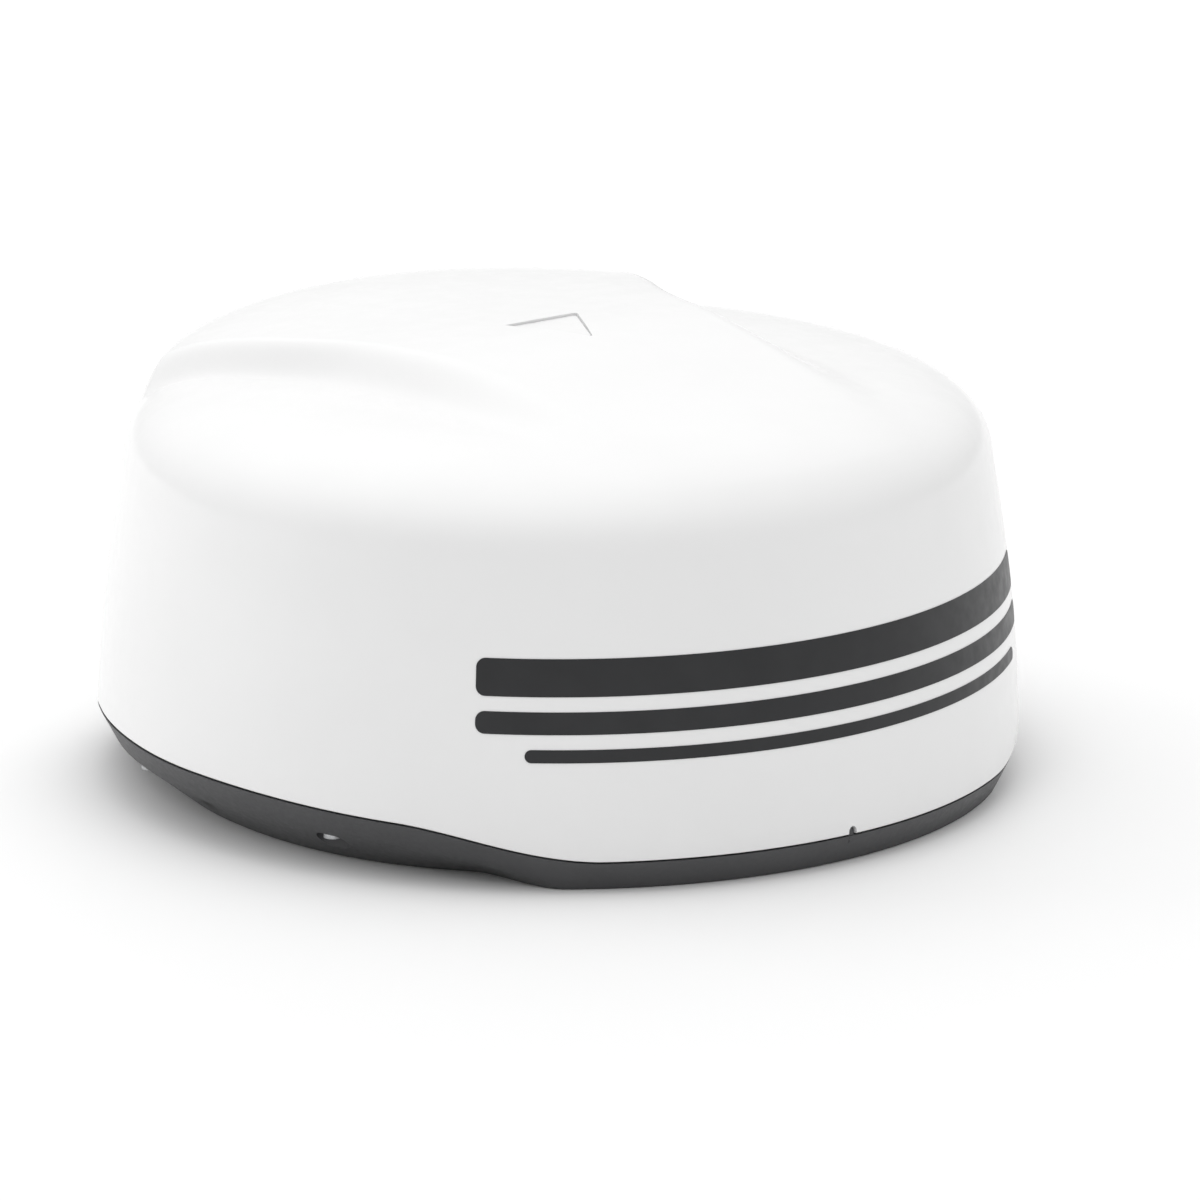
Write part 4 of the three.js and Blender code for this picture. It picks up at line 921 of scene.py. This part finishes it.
def build_fasteners():
    for i, azimuth in enumerate(SCREW_AZIMUTHS, 1):
        x, y = (float(v) for v in place(SCREW_RADIUS, azimuth))
        tip = float(parting(azimuth)) + LIP_HEIGHT + 16
        head = [(0, 15), (4.6, 15), (5.1, 15.2), (5.3, 15.7), (5.3, 20.6), (4.9, 21), (2.85, 21)]
        shank = head + threads(2.85, tip - 13, tip - 1, 0.8, 0.35) + [(2.2, tip), (0, tip)]
        hexagon = hexagon_tool(2.9, 14, 18.5, x, y)
        mouth = turned_tool([(0, 14.6), (3.5, 14.6), (2.6, 15.5), (0, 15.5)], x, y)
        node = f"captive_screw_{i}"
        carved(f"dome_screw_{i}", node, [turned_tool(shank, x, y)], [hexagon, mouth])
        low = float(parting(azimuth)) + LIP_HEIGHT + 1.5
        high = low + 18
        bore = list(reversed(threads(3.6, low + 1, high - 1, 0.8, 0.4)))
        ring = [(3.2, low), (4.2, low), (4.5, low + 0.3), (4.5, high - 0.3), (4.2, high), (3.2, high)]
        Build().lathe(BRASS, ring + bore, (x, y, 0)).piece(f"dome_thread_{i}", f"dome_insert_{i}")
    for i, (x, y) in enumerate(MOUNTS, 1):
        outside = [(0, 18), (6.5, 18), (7, 17.5), (7, 0.8), (6.5, 0.3), (4.8, 0.3)]
        bore = threads(4.4, 0.9, 15.6, 1.25, 0.4) + [(3.9, 16), (0, 16)]
        made = Build().lathe(STAINLESS, outside + bore, (x, y, 0))
        made.piece(f"mount_thread_{i}", f"mount_insert_{i}")
    for i, (x, y) in enumerate(CHASSIS_SCREWS, 1):
        profile = [
            (0, 8), (1.6, 8), (2, 8.4), (2, 20.6), (3.7, 20.6), (4, 20.9), (4, 23), (3.4, 23.6),
            (0, 23.6),
        ]
        hexagon = hexagon_tool(2.0, 21.6, 25, x, y)
        node = f"chassis_screw_{i}"
        carved(f"plate_screw_{i}", node, [turned_tool(profile, x, y)], [hexagon])


def build_socket(name, node, x, barrel, bore, pins, pin_radius, pin_ring):
    outside = [
        (0, 141), (7.9, 141), (8.5, 141.6), (8.5, 150.3), (11.3, 150.3), (12, 151), (12, 152.3),
        (11.3, 153), (barrel, 153), (barrel, 155), (barrel - 0.5, 155.5), (barrel - 0.5, 157.5),
        (barrel, 158), (barrel, 165.3), (barrel - 0.6, 166),
    ]
    inside = [(bore + 0.5, 166), (bore, 165.4), (bore, 155), (0, 155)]
    made = Build().lathe(BLACK, outside + inside, (x, 0, 15), "y", 56)
    for k in range(pins):
        angle = 2 * pi * (k + 0.25) / pins
        spot = (x + pin_ring * cos(angle), 0, 15 + pin_ring * sin(angle))
        pin = [(0, 154.8), (pin_radius, 154.8), (pin_radius, 160.4), (pin_radius * 0.6, 161), (0, 161)]
        made.lathe(BRASS, pin, spot, "y", 14)
    made.block(BLACK, x - 0.9, x + 0.9, 154.8, 163.5, 15 + bore - 1.3, 15 + bore + 0.3, 0.2)
    made.piece(name, node)


def build_vent():
    profile = [
        (0, 1.2), (2.9, 1.2), (3.2, 0.5), (3.5, 0.3), (4.1, 0.3), (4.5, 0.7), (4.5, 4.6), (7.7, 4.6),
        (8, 4.9), (8, 7.3), (7.7, 7.7), (5.2, 9.3), (4.7, 9.5), (0, 9.5),
    ]
    Build().lathe(BLACK, profile, (0, -150, 0)).piece("vent_plug", "breather_vent")


# ---------------------------------------------------------------- the chassis and the drive
MOTOR_X = 72.15
MOTOR_HOLE = 15.5  # from the motor's axis to its screws, along each side
ON_PLATE = 20.6  # the height at which parts stand on the plate


def bearing(name, z):
    """A sealed ball bearing: the outer ring with its seals, and the inner ring."""
    top = z + 12
    ring = [(17.6, z), (20.4, z), (21, z + 0.6), (21, top - 0.6), (20.4, top), (17.6, top)]
    seal = [(15.5, z + 0.5), (17.5, z + 0.35), (17.5, top - 0.35), (15.5, top - 0.5)]
    outer = Build().lathe(STEEL, ring, steps=72).lathe(RUBBER, seal, steps=72)
    outer.piece(f"{name}_race", f"{name}_bearing_outer")
    core = [(10, z + 0.5), (10.5, z), (14.7, z), (15, z + 0.3)]
    core += [(radius, z + top - height) for radius, height in reversed(core)]
    Build().lathe(STEEL, core, steps=72).piece(f"{name}_cone", f"{name}_bearing_inner")


def build_chassis():
    section = [
        (18, 16.3), (137.4, 16.3), (138, 16.9), (138, 19.7), (137.4, 20.3), (43, 20.3), (40.6, 20.6),
        (38.8, 21.4), (37.4, 22.8), (31.6, 30.2), (30.5, 32.2), (30, 34.6), (30, 91.2), (29.2, 92),
        (22, 92), (21.3, 91.3),
        (21.3, 77.7), (18, 77.7), (18, 52.3), (21.3, 52.3), (21.3, 39.7), (18, 39.7),
    ]
    cuts = [drill(2.4, 10, 30, x, y) for x, y in CHASSIS_SCREWS]
    cuts += [turned_tool([(0, 10), (13, 10), (13, 19.8), (14, 21), (0, 21)], x, y) for x, y in MOUNTS]
    cuts.append(cube_tool(-5.5, 5.5, 14, 50, 21.5, 31.5, 1.0))
    carved("chassis_casting", "chassis_frame", [turned_tool(section, steps=120)], cuts)
    bearing("lower", 40)
    bearing("upper", 78)
    turns = [radians(-90 + 15 + k * 10) for k in range(34)]
    clip = [(12.3 * cos(a), 12.3 * sin(a)) for a in turns]
    clip += [(8.5 * cos(a), 8.5 * sin(a)) for a in reversed(turns)]
    Build().prism(STEEL, clip, 38, 39.4, 0.15).piece("circlip", "bearing_circlip")
    shaft = [
        (5, 36.5), (5.5, 36), (9.2, 36), (9.7, 36.5), (9.7, 37.7), (8.2, 37.7), (8.2, 39.7), (9.7, 39.7),
        (9.7, 107.2), (10.5, 108), (25.4, 108), (26, 108.6), (26, 113.4), (25.4, 114), (5.6, 114),
        (5, 113.4),
    ]
    Build().lathe(STAINLESS, shaft, steps=72).piece("turning_shaft", "main_shaft")
    still = bar(13, ON_PLATE, 33, 0.6, 0.6)[:-1]
    still += [(7, 33), (7, 35), (6.6, 35.4), (2.6, 35.4), (2.6, 30), (0, 30)]
    Build().lathe(BRASS, still).piece("joint_body", "rotary_joint_stator")
    turning = [(0, 31), (1.7, 31), (2, 31.3), (2, 37)] + bar(4.6, 37, 112, 0.3, 0.4)[1:]
    Build().lathe(BRASS, turning).piece("joint_core", "rotary_joint_rotor")
    line = Build().lathe(COPPER, bar(2.2, 13.4, 39.7), (0, 0, 26.6), "y", 24)
    for low in (13.4, 33.1):
        nut = prism_of(circle(3.8, 6), low, low + 6.6)
        round_edges(nut, 0.35, 2)
        line.take(nut, BRASS, shift(0, 0, 26.6) @ TURN["y"])
    line.piece("coaxial_line", "feed_line")


def gear_outline(teeth, turn):
    pitch = float(teeth)  # module 2, so the pitch radius in millimetres is the number of teeth
    root, tip = pitch - 2.4, pitch + 1.8
    flank = [(root + 0.25, 0.345), (root + 0.7, 0.29), (pitch, 0.205), (tip - 0.3, 0.13), (tip, 0.1)]
    corners = [(radius, -share) for radius, share in flank] + flank[::-1] + [(root, 0.42)]
    outline = []
    for tooth in range(teeth):
        for radius, share in corners:
            angle = turn + (tooth + share) * 2 * pi / teeth
            outline.append((radius * cos(angle), radius * sin(angle)))
    return outline


WINDOW_CIRCLE = 34  # the radius on which the gear's windows lie


def build_gears():
    disc = prism_of(gear_outline(54, pi / 54), 96, 104)
    hub = turned_tool(bar(16, 95, 106, 0.6, 0.8), steps=64)
    recesses = [
        turned_tool([(18.5, low), (48.3, low), (48.3, high), (18.5, high)], steps=96)
        for low, high in ((92, 97.2), (102.8, 108))
    ]
    wheel = tool(disc)
    combine(wheel, recesses, "DIFFERENCE")
    holes = circle(WINDOW_CIRCLE, 8)[1::2]  # four round windows in the web, each with a rim
    rims = [drill(13, 96.2, 103.8, x, y, steps=48) for x, y in holes]
    cuts = [drill(10, 80, 120, steps=64)]
    cuts += [drill(11, 80, 120, x, y, steps=48) for x, y in holes]
    carved("large_gear", "driven_gear", [wheel, hub, *rims], cuts, 30)
    teeth = tool(prism_of(gear_outline(18, pi), 95, 105), shift(MOTOR_X, 0, 0))
    carved("small_gear", "drive_pinion", [teeth], [drill(2.8, 80, 120, MOTOR_X)], 30)
    rod = bar(2.5, 50, 106.5, 0.3, 0.5)
    Build().lathe(STAINLESS, rod, (MOTOR_X, 0, 0), steps=32).piece("motor_rod", "motor_shaft")


def build_motor():
    def can(half, low, high, bevel=0.0):
        corner = half - 4
        x, y = (half, half, corner, -corner), (-corner, corner, half, half)
        outline = list(zip(x, y)) + [(-a, -b) for a, b in zip(x, y)]
        part = prism_of(outline, low, high)
        round_edges(part, bevel, 2)
        return tool(part, shift(MOTOR_X, 0, 0))

    adds = [can(21, 42, 50.2, 0.8), can(20.4, 49.8, 74.4), can(21, 74, 83.7, 0.8)]
    adds += [can(20.85, 51.2 + 1.6 * k, 52.5 + 1.6 * k, 0.2) for k in range(14)]
    adds.append(drill(11, 83, 85.2, MOTOR_X, steps=48))
    cuts = [drill(3, 48, 92, MOTOR_X)]
    spots = (-MOTOR_HOLE, MOTOR_HOLE)
    corners = [(x, y) for x in spots for y in spots]
    cuts += [drill(2.6, 40, 43.6, MOTOR_X + x, y, steps=20) for x, y in corners]
    carved("stepping_motor", "motor_body", adds, cuts)
    outer = MOTOR_X + 29
    adds = [
        cube_tool(28, outer, -24, 24, 84, 87.5, 0.6),
        cube_tool(outer - 4, outer, -24, 24, ON_PLATE, 87.5, 0.6),
        cube_tool(outer - 4, outer + 14, -24, 24, ON_PLATE, 24.3, 0.6),
    ]
    cuts = [drill(30.3, 80, 90, steps=96), drill(11.5, 80, 90, MOTOR_X, steps=48)]
    cuts += [drill(1.7, 80, 90, MOTOR_X + x, y, steps=20) for x, y in corners]
    cuts += [drill(2.2, 18, 30, outer + 7, y, steps=20) for y in (-16, 16)]
    carved("motor_plate", "motor_bracket", adds, cuts)
    board = Build().block(GREEN, -9, 9, -50, -30.3, 84, 85.6, 0.15)
    board.block(GREEN, -9, 9, -32.2, -30.3, 76, 85, 0.15)
    board.block(CHIP, -3, 3, -45, -39, 85.4, 88, 0.3)
    for y in (-44.4 + 1.4 * k for k in range(4)):
        for x in (-3.5, 3.5):
            board.block(COPPER, x - 0.7, x + 0.7, y, y + 0.6, 85.5, 85.9, 0.05)
    board.piece("sensor_board", "position_sensor")
    Build().disc(MAGNET, 3, 92, 95.7, 0, -42).piece("sensor_magnet", "position_magnet")


# ---------------------------------------------------------------- the antenna
ARRAY_HALF, ARRAY_LOW, ARRAY_HIGH = 206, 130, 184
ARRAY_FRONT, ARRAY_BACK = -24, -4.7
PATCHES, PATCH_PITCH = 18, 22.4


def build_array():
    gussets = []
    for x in (-34, 31):
        side = prism_of([(-4.4, 0), (26, 0), (-1.4, 40), (-4.4, 40)], 0, 3)
        upright = Matrix(((0, 0, 1, x), (1, 0, 0, 0), (0, 1, 0, 114.3), (0, 0, 0, 1)))
        gussets.append(tool(side, upright))
    adds = [
        cube_tool(-34, 34, -4.4, 26, 114.3, 117.3, 0.5),
        cube_tool(-58, 58, -4.4, -1.4, 114.3, 172, 0.5),
    ]
    cuts = [cube_tool(-8, 8, -6, 0, 148, 162, 1.2), drill(6, 110, 120, 0, 5)]
    cuts += [drill(2.2, -8, 2, x, 0, z, "y", 20) for x in (-48, 48) for z in (124, 164)]
    cuts += [drill(5.5, -8, 2, x, 0, 146, "y") for x in (-38, -22, 22, 38)]
    carved("array_bracket", "antenna_bracket", adds + gussets, cuts)
    half, low, high = ARRAY_HALF, ARRAY_LOW, ARRAY_HIGH
    adds = [
        cube_tool(-half, half, -7.2, ARRAY_BACK, low, high, 0.7),
        cube_tool(-half, half, -20, ARRAY_BACK, low, low + 2, 0.6),
        cube_tool(-half, half, -20, ARRAY_BACK, high - 2, high, 0.6),
    ]
    columns = (-180, -120, -72, 72, 120, 180)
    cuts = [drill(3.2, -9, -3, x, 0, z, "y", 20) for x in columns for z in (140, 174)]
    carved("array_channel", "array_backplate", adds, cuts)
    Build().block(FOAM, -205.7, 205.7, -22, -7.5, 132.3, 181.7, 0.8).piece("array_foam", "array_core")
    board = Build().block(GREEN, -half, half, ARRAY_FRONT, ARRAY_FRONT + 1.6, low, high, 0.2)
    face = (ARRAY_FRONT - 0.12, ARRAY_FRONT + 0.1)  # copper, that stands out by 0.12 mm
    for k in range(PATCHES):
        x = (k - (PATCHES - 1) / 2) * PATCH_PITCH
        for z in (145, 169):
            board.block(COPPER, x - 5.2, x + 5.2, *face, z - 5, z + 5, 0.04)
        board.block(COPPER, x - 0.5, x + 0.5, *face, 149.8, 164.2, 0.04)
    board.block(COPPER, -193, 193, *face, 156.3, 157.7, 0.04)
    board.piece("patch_board", "array_board")
    for name, x in (("array_end_left", -208.9), ("array_end_right", 206.3)):
        cap = Build().block(BLACK, x, x + 2.6, ARRAY_FRONT, ARRAY_BACK, low, high, 0.9, segments=3)
        cap.piece(name.replace("array_end", "array_cap"), name)
    route = [(0, 5, 114.6), (0, 5, 122), (0, 12, 134), (0, 14, 147), (0, 8, 155), (0, -4.3, 155)]
    Build().take(pipe_of(route, 1.8, 16), COPPER).piece("array_lead", "array_feed")


# ---------------------------------------------------------------- the electronics
GRID, BOARD_RIM, CLEAR = 2.5, 4, 2.2  # spacing of small pieces, and their room from edges and parts


def small_pieces(board, area, z, blocked, count, seed):
    """Scatters small surface-mounted pieces over the free places of a board."""
    dice = random.Random(seed)
    x0, x1, y0, y1 = area
    for _ in range(count):
        x = round(dice.uniform(x0 + BOARD_RIM, x1 - BOARD_RIM) / GRID) * GRID
        y = round(dice.uniform(y0 + BOARD_RIM, y1 - BOARD_RIM) / GRID) * GRID
        if any(a - CLEAR < x < b + CLEAR and c - CLEAR < y < d + CLEAR for a, b, c, d in blocked):
            continue
        blocked.append((x - 1, x + 1, y - 1, y + 1))
        long, wide = (1.6, 0.8) if dice.random() < 0.6 else (0.8, 1.6)
        if dice.random() < 0.12:
            long = wide = 3.6
        body = CERAMIC if dice.random() < 0.45 else CHIP
        sides = x - long / 2, x + long / 2, y - wide / 2, y + wide / 2
        board.block(body, *sides, z - 0.05, z + 0.75, 0.08, segments=1)


def can_capacitor(board, x, y, radius, z, top):
    profile = [
        (0, z), (radius, z), (radius, z + 1.2), (radius - 0.5, z + 1.8), (radius - 0.5, z + 2.4),
        (radius, z + 3), (radius, top - 0.6), (radius - 0.6, top), (radius - 1.2, top - 0.25),
        (0, top - 0.25),
    ]
    board.lathe(SLEEVE, profile, (x, y, 0), steps=32)
    board.disc(STEEL, radius - 1.3, top - 0.5, top - 0.1, x, y)


def fin_sink(board, x0, x1, y0, y1, z, top):
    board.block(CAST, x0, x1, y0, y1, z, z + 2.5, 0.3)
    count = max(int((x1 - x0) / 3.2), 2)
    for k in range(count):
        x = x0 + (x1 - x0 - 1.2) * k / (count - 1)
        board.block(CAST, x, x + 1.2, y0, y1, z + 2, top, 0.2)


def pin_header(board, x0, x1, y0, y1, z, top):
    board.block(NYLON, x0, x1, y0, y1, z, top, 0.4)
    along = x1 - x0 > y1 - y0
    length = (x1 - x0) if along else (y1 - y0)
    for k in range(int((length - 2) / GRID)):
        at = 1.6 + GRID * k
        x, y = (x0 + at, (y0 + y1) / 2) if along else ((x0 + x1) / 2, y0 + at)
        board.block(CHIP, x - 0.6, x + 0.6, y - 0.6, y + 0.6, top - 0.3, top + 0.05, 0.05)


def chip(board, x0, x1, y0, y1, z, top):
    board.block(CHIP, x0 + 1, x1 - 1, y0 + 1, y1 - 1, z, top, 0.3)
    count = int((y1 - y0 - 3) / 1.3)
    for k in range(count):
        y = y0 + 1.8 + 1.3 * k
        for x in (x0, x1 - 1.2):
            board.block(COPPER, x, x + 1.2, y, y + 0.6, z, z + 0.5, 0.05, segments=1)


def build_electronics():
    outer = cube_tool(-72, 72, 40, 122, ON_PLATE, 62, 1.6)
    hollow = cube_tool(-69.5, 69.5, 42.5, 119.5, 23.1, 66, 1.2)
    carved("screening_case", "transceiver_case", [outer], [hollow])
    adds = [cube_tool(-72, 72, 40, 122, 62.3, 64.3, 0.5)]
    adds += [cube_tool(-24 + 12 * k, -22 + 12 * k, 102, 118, 63.3, 74, 0.5) for k in range(5)]
    for x, y in ((-60, 48), (60, 48), (60, 96), (-60, 96)):
        adds.append(hexagon_tool(3, 63.3, 69.7, x, y))
    cuts = [drill(1.8, 60, 66, x, y, steps=20) for x in (-68.5, 0, 68.5) for y in (43.5, 118.5)]
    carved("screening_lid", "transceiver_lid", adds, cuts)

    board = Build().block(GREEN, -67, 67, 45, 117, 34, 35.6, 0.15)
    chip(board, -50, -28, 60, 80, 35, 39.6)
    fin_sink(board, -10, 12, 70, 96, 35, 41.6)
    chip(board, 30, 52, 58, 76, 35, 38.6)
    board.piece("receiver_card", "receiver_board")

    board = Build().block(GREEN, -64, 64, 44, 100, 70, 71.6, 0.15)
    blocks = [(-40, -20, 60, 80), (-6, 18, 52, 62), (30, 44, 70, 84), (-56, -50, 54, 66)]
    chip(board, *blocks[0], 71.2, 74.1)
    pin_header(board, *blocks[1], 71.2, 75.6)
    chip(board, *blocks[2], 71.2, 73.6)
    pin_header(board, *blocks[3], 71.2, 79.6)
    small_pieces(board, (-64, 64, 44, 100), 71.6, blocks, 150, 11)
    board.piece("processor_card", "processor_board")

    board = Build().block(GREEN, -68, 68, -118, -50, 32, 33.6, 0.15)
    for x in (-54.4, -43.6):
        for y in (-106.9, -97.1):
            can_capacitor(board, x, y, 4.8, 33, 51.6)
    fin_sink(board, -30, -14, -112, -60, 33, 45.6)
    board.block(CHIP, -4, 14, -84, -66, 33, 42.6, 1.2, segments=3)
    board.lathe(WIRE, [(3, 35), (8.2, 35), (8.2, 42.8), (3, 42.8)], (5, -75, 0), steps=40)
    pin_header(board, 44, 60, -66, -54, 33, 47.6)
    for x, y in ((-62, -56), (62, -60), (62, -112), (-64, -116)):
        board.prism(SHEET, circle(3, 6, x, y), ON_PLATE, 32.4, 0.3)
    blocks = [
        (-60, -38, -112, -92), (-30, -14, -112, -60), (-4, 14, -84, -66), (44, 60, -66, -54),
        (18, 58, -112, -76),
    ]
    small_pieces(board, (-68, 68, -118, -50), 33.6, blocks, 130, 5)
    board.piece("power_card", "power_board")

    core = Build().block(MAGNET, 20, 56, -110, -78, 33.9, 39.9, 0.8)
    core.block(WIRE, 26, 50, -104, -84, 38.9, 53.9, 3.5, segments=4)
    core.block(MAGNET, 20, 56, -110, -78, 52.9, 58.9, 0.8)
    core.block(CERAMIC, 25.4, 50.6, -97, -91, 39.5, 53.4, 0.5)
    core.piece("pulse_core", "pulse_transformer")


def build_magnetron():
    made = Build().block(DARK, -128, -78, -34, 34, ON_PLATE, 26, 0.8)
    for low in (-34, 20):
        made.block(MAGNET, -128, -78, low, low + 14, 25, 68, 1.6, segments=3)
    can = [(0, 25), (15, 25), (15, 29), (12, 30)]
    for k in range(8):
        z = 31 + 3.4 * k
        can += [(12, z), (14.9, z + 0.2), (14.9, z + 1.2), (12, z + 1.4)]
    can += [(12, 59), (15, 60), (15, 61.4), (14.4, 62), (0, 62)]
    made.lathe(COPPER, can, (-103, 0, 0), steps=56)
    poles = [(0, -21), (9, -21), (9, -15), (9, 15), (9, 21), (0, 21)]
    made.lathe(STEEL, poles, (-103, 0, 44), "y", 40)
    made.piece("magnetron_stack", "magnetron")


def fan_blade():
    """A blade that twists and widens outwards."""
    rings = []
    for j in range(7):
        pitch = radians(44 - 1.9 * j)
        chord = 3.1 + 0.06 * j
        face = [(-chord, 0.12), (-chord * 0.4, 0.5), (chord * 0.4, 0.42), (chord, 0.12)]
        back = [(chord, -0.12), (chord * 0.4, -0.42), (-chord * 0.4, -0.5), (-chord, -0.12)]
        c, s = cos(pitch), sin(pitch)
        rings.append([(a * c - t * s, a * s + t * c, 6.6 + 11.2 * j / 6) for a, t in face + back])
    return loft(rings)


def build_fan():
    x, y, z = -92, 82, 40.6
    frame = cube_tool(x, x + 10, y - 20, y + 20, z - 20, z + 20, 1.6)
    combine(frame, [drill(19, x - 1, x + 11, 0, y, z, "x", 72)], "DIFFERENCE")
    adds = [
        frame,
        drill(7, x, x + 2, 0, y, z, "x"),
        cube_tool(x, x + 1.6, y - 20, y + 20, z - 1.2, z + 1.2, 0.3),
        cube_tool(x, x + 1.6, y - 1.2, y + 1.2, z - 20, z + 20, 0.3),
    ]
    cuts = [
        drill(1.7, x - 1, x + 11, 0, y + dy, z + dz, "x", 20)
        for dy in (-16.5, 16.5) for dz in (-16.5, 16.5)
    ]
    carved("fan_housing", "fan_frame", adds, cuts)
    front = x + 2.4
    parts = [turned_tool(bar(7.5, front, front + 6.8, 0.5, 0.8), 0, y, z, "x")]
    for angle in turns(7):
        turn = Matrix.Rotation(angle, 4, "X")
        parts.append(tool(fan_blade(), shift(front + 3.4, y, z) @ turn))
    carved("fan_wheel", "fan_impeller", parts, (), 40)


# ---------------------------------------------------------------- the stage
FLOOR_SPAN, FLOOR_DROP = 9e3, 0.0004  # the floor's half width in millimetres, and metres below the base


def build_stage():
    corners = [(x * FLOOR_SPAN, y * FLOOR_SPAN, 0) for x, y in ((-1, -1), (1, -1), (1, 1), (-1, 1))]
    floor = new_object("floor", new_mesh("floor", corners, [(0, 1, 2, 3)]))
    floor.location.z = -FLOOR_DROP
    p = Paint("floor_white", 0.6, specular=0.2)
    colour = p.mix(p.drift(2, 2, 0.0, 1.0), (0.86, 0.86, 0.86), (0.87, 0.87, 0.87))
    floor.data.materials.append(p.finish(colour, None))


def area_light(name, position, target, size, power, size_y):
    light = bpy.data.lights.new(name, "AREA")
    light.energy = power
    light.shape = "RECTANGLE"
    light.size = size
    light.size_y = size_y
    made = new_object(name, light)
    made.location = position
    made.rotation_mode = "QUATERNION"
    made.rotation_quaternion = (Vector(target) - Vector(position)).to_track_quat("-Z", "Y")
    made.visible_glossy = False


def build_light():
    """The sky is brighter overhead than at the horizon, and glows softly behind the object."""
    world = bpy.data.worlds.new("studio")
    bpy.context.scene.world = world
    world.use_nodes = True
    sky = Nodes(world.node_tree)
    inputs = sky.tree.nodes["Background"].inputs
    direction = sky.node("ShaderNodeTexCoord", {}).outputs["Generated"]
    strength = HORIZON
    for axis, share in (((0, 0, 1), ZENITH - HORIZON), (BEHIND, GLOW)):
        dot = sky.node("ShaderNodeVectorMath", {0: direction, 1: axis}, operation="DOT_PRODUCT")
        above = sky.maths("MAXIMUM", dot.outputs["Value"], 0)
        strength = sky.maths("MULTIPLY_ADD", sky.maths("POWER", above, 2), share, strength)
    sky.put(inputs["Color"], (1, 1, 1, 1))
    sky.put(inputs["Strength"], strength)
    for name, position, size, power, size_y in LIGHTS:
        area_light(name, position, (0, 0, 0.12), size, power, size_y)


def build_camera():
    camera = bpy.data.cameras.new("camera")
    camera.sensor_width = 36.0
    camera.lens = 271.6
    camera.clip_end = 60
    made = new_object("camera", camera)
    azimuth, elevation, distance = radians(-38), radians(15.91), 5.0
    flat = cos(elevation)
    back = Vector((sin(azimuth) * flat, -cos(azimuth) * flat, sin(elevation)))
    made.location = Vector((0, 0, 0.0165)) + back * distance
    aim = Vector((0.0305, 0.00145, 0.0864)) - made.location
    level = (-back).to_track_quat("-Z", "Y")
    made.rotation_mode = "QUATERNION"
    made.rotation_quaternion = (-back).rotation_difference(aim) @ level
    bpy.context.scene.camera = made


HORIZON, ZENITH, GLOW = 0.496, 1.69, 0.295
BEHIND = (0.616, 0.788, 0.0)
LIGHTS = (
    ("port_quarter", (-2.2, 2.9, 1.3), 2.6, 29.1, 2.0),
    ("starboard_quarter", (2.6, 2.0, 1.6), 2.4, 8.6, 1.8),
    ("starboard_bow", (3.0, -1.6, 1.6), 2.4, 1.3, 1.8),
)

build_camera()
build_stage()
build_light()
bpy.context.scene.view_settings.view_transform = "Standard"

build_dome()
build_stripe("bow_stripe_upper_vinyl", 106, 126, 48)
build_stripe("bow_stripe_middle_vinyl", 86, 98, 48)
build_stripe("bow_stripe_lower_vinyl", 71, 78, 42)
build_base()
build_gasket()
build_fasteners()
build_socket("power_inlet", "power_socket", -24, 9.5, 7.5, 3, 1.1, 3.6)
build_socket("network_inlet", "network_socket", 24, 10.5, 8.5, 8, 0.55, 4.6)
build_vent()
build_chassis()
build_gears()
build_motor()
build_array()
build_electronics()
build_magnetron()
build_fan()

for name, slot in SLOT_OF.items():
    node = frame["nodes"].get(name)
    if node is not None and not node.hide_render:
        coat_with(node, FINISHES[slot])
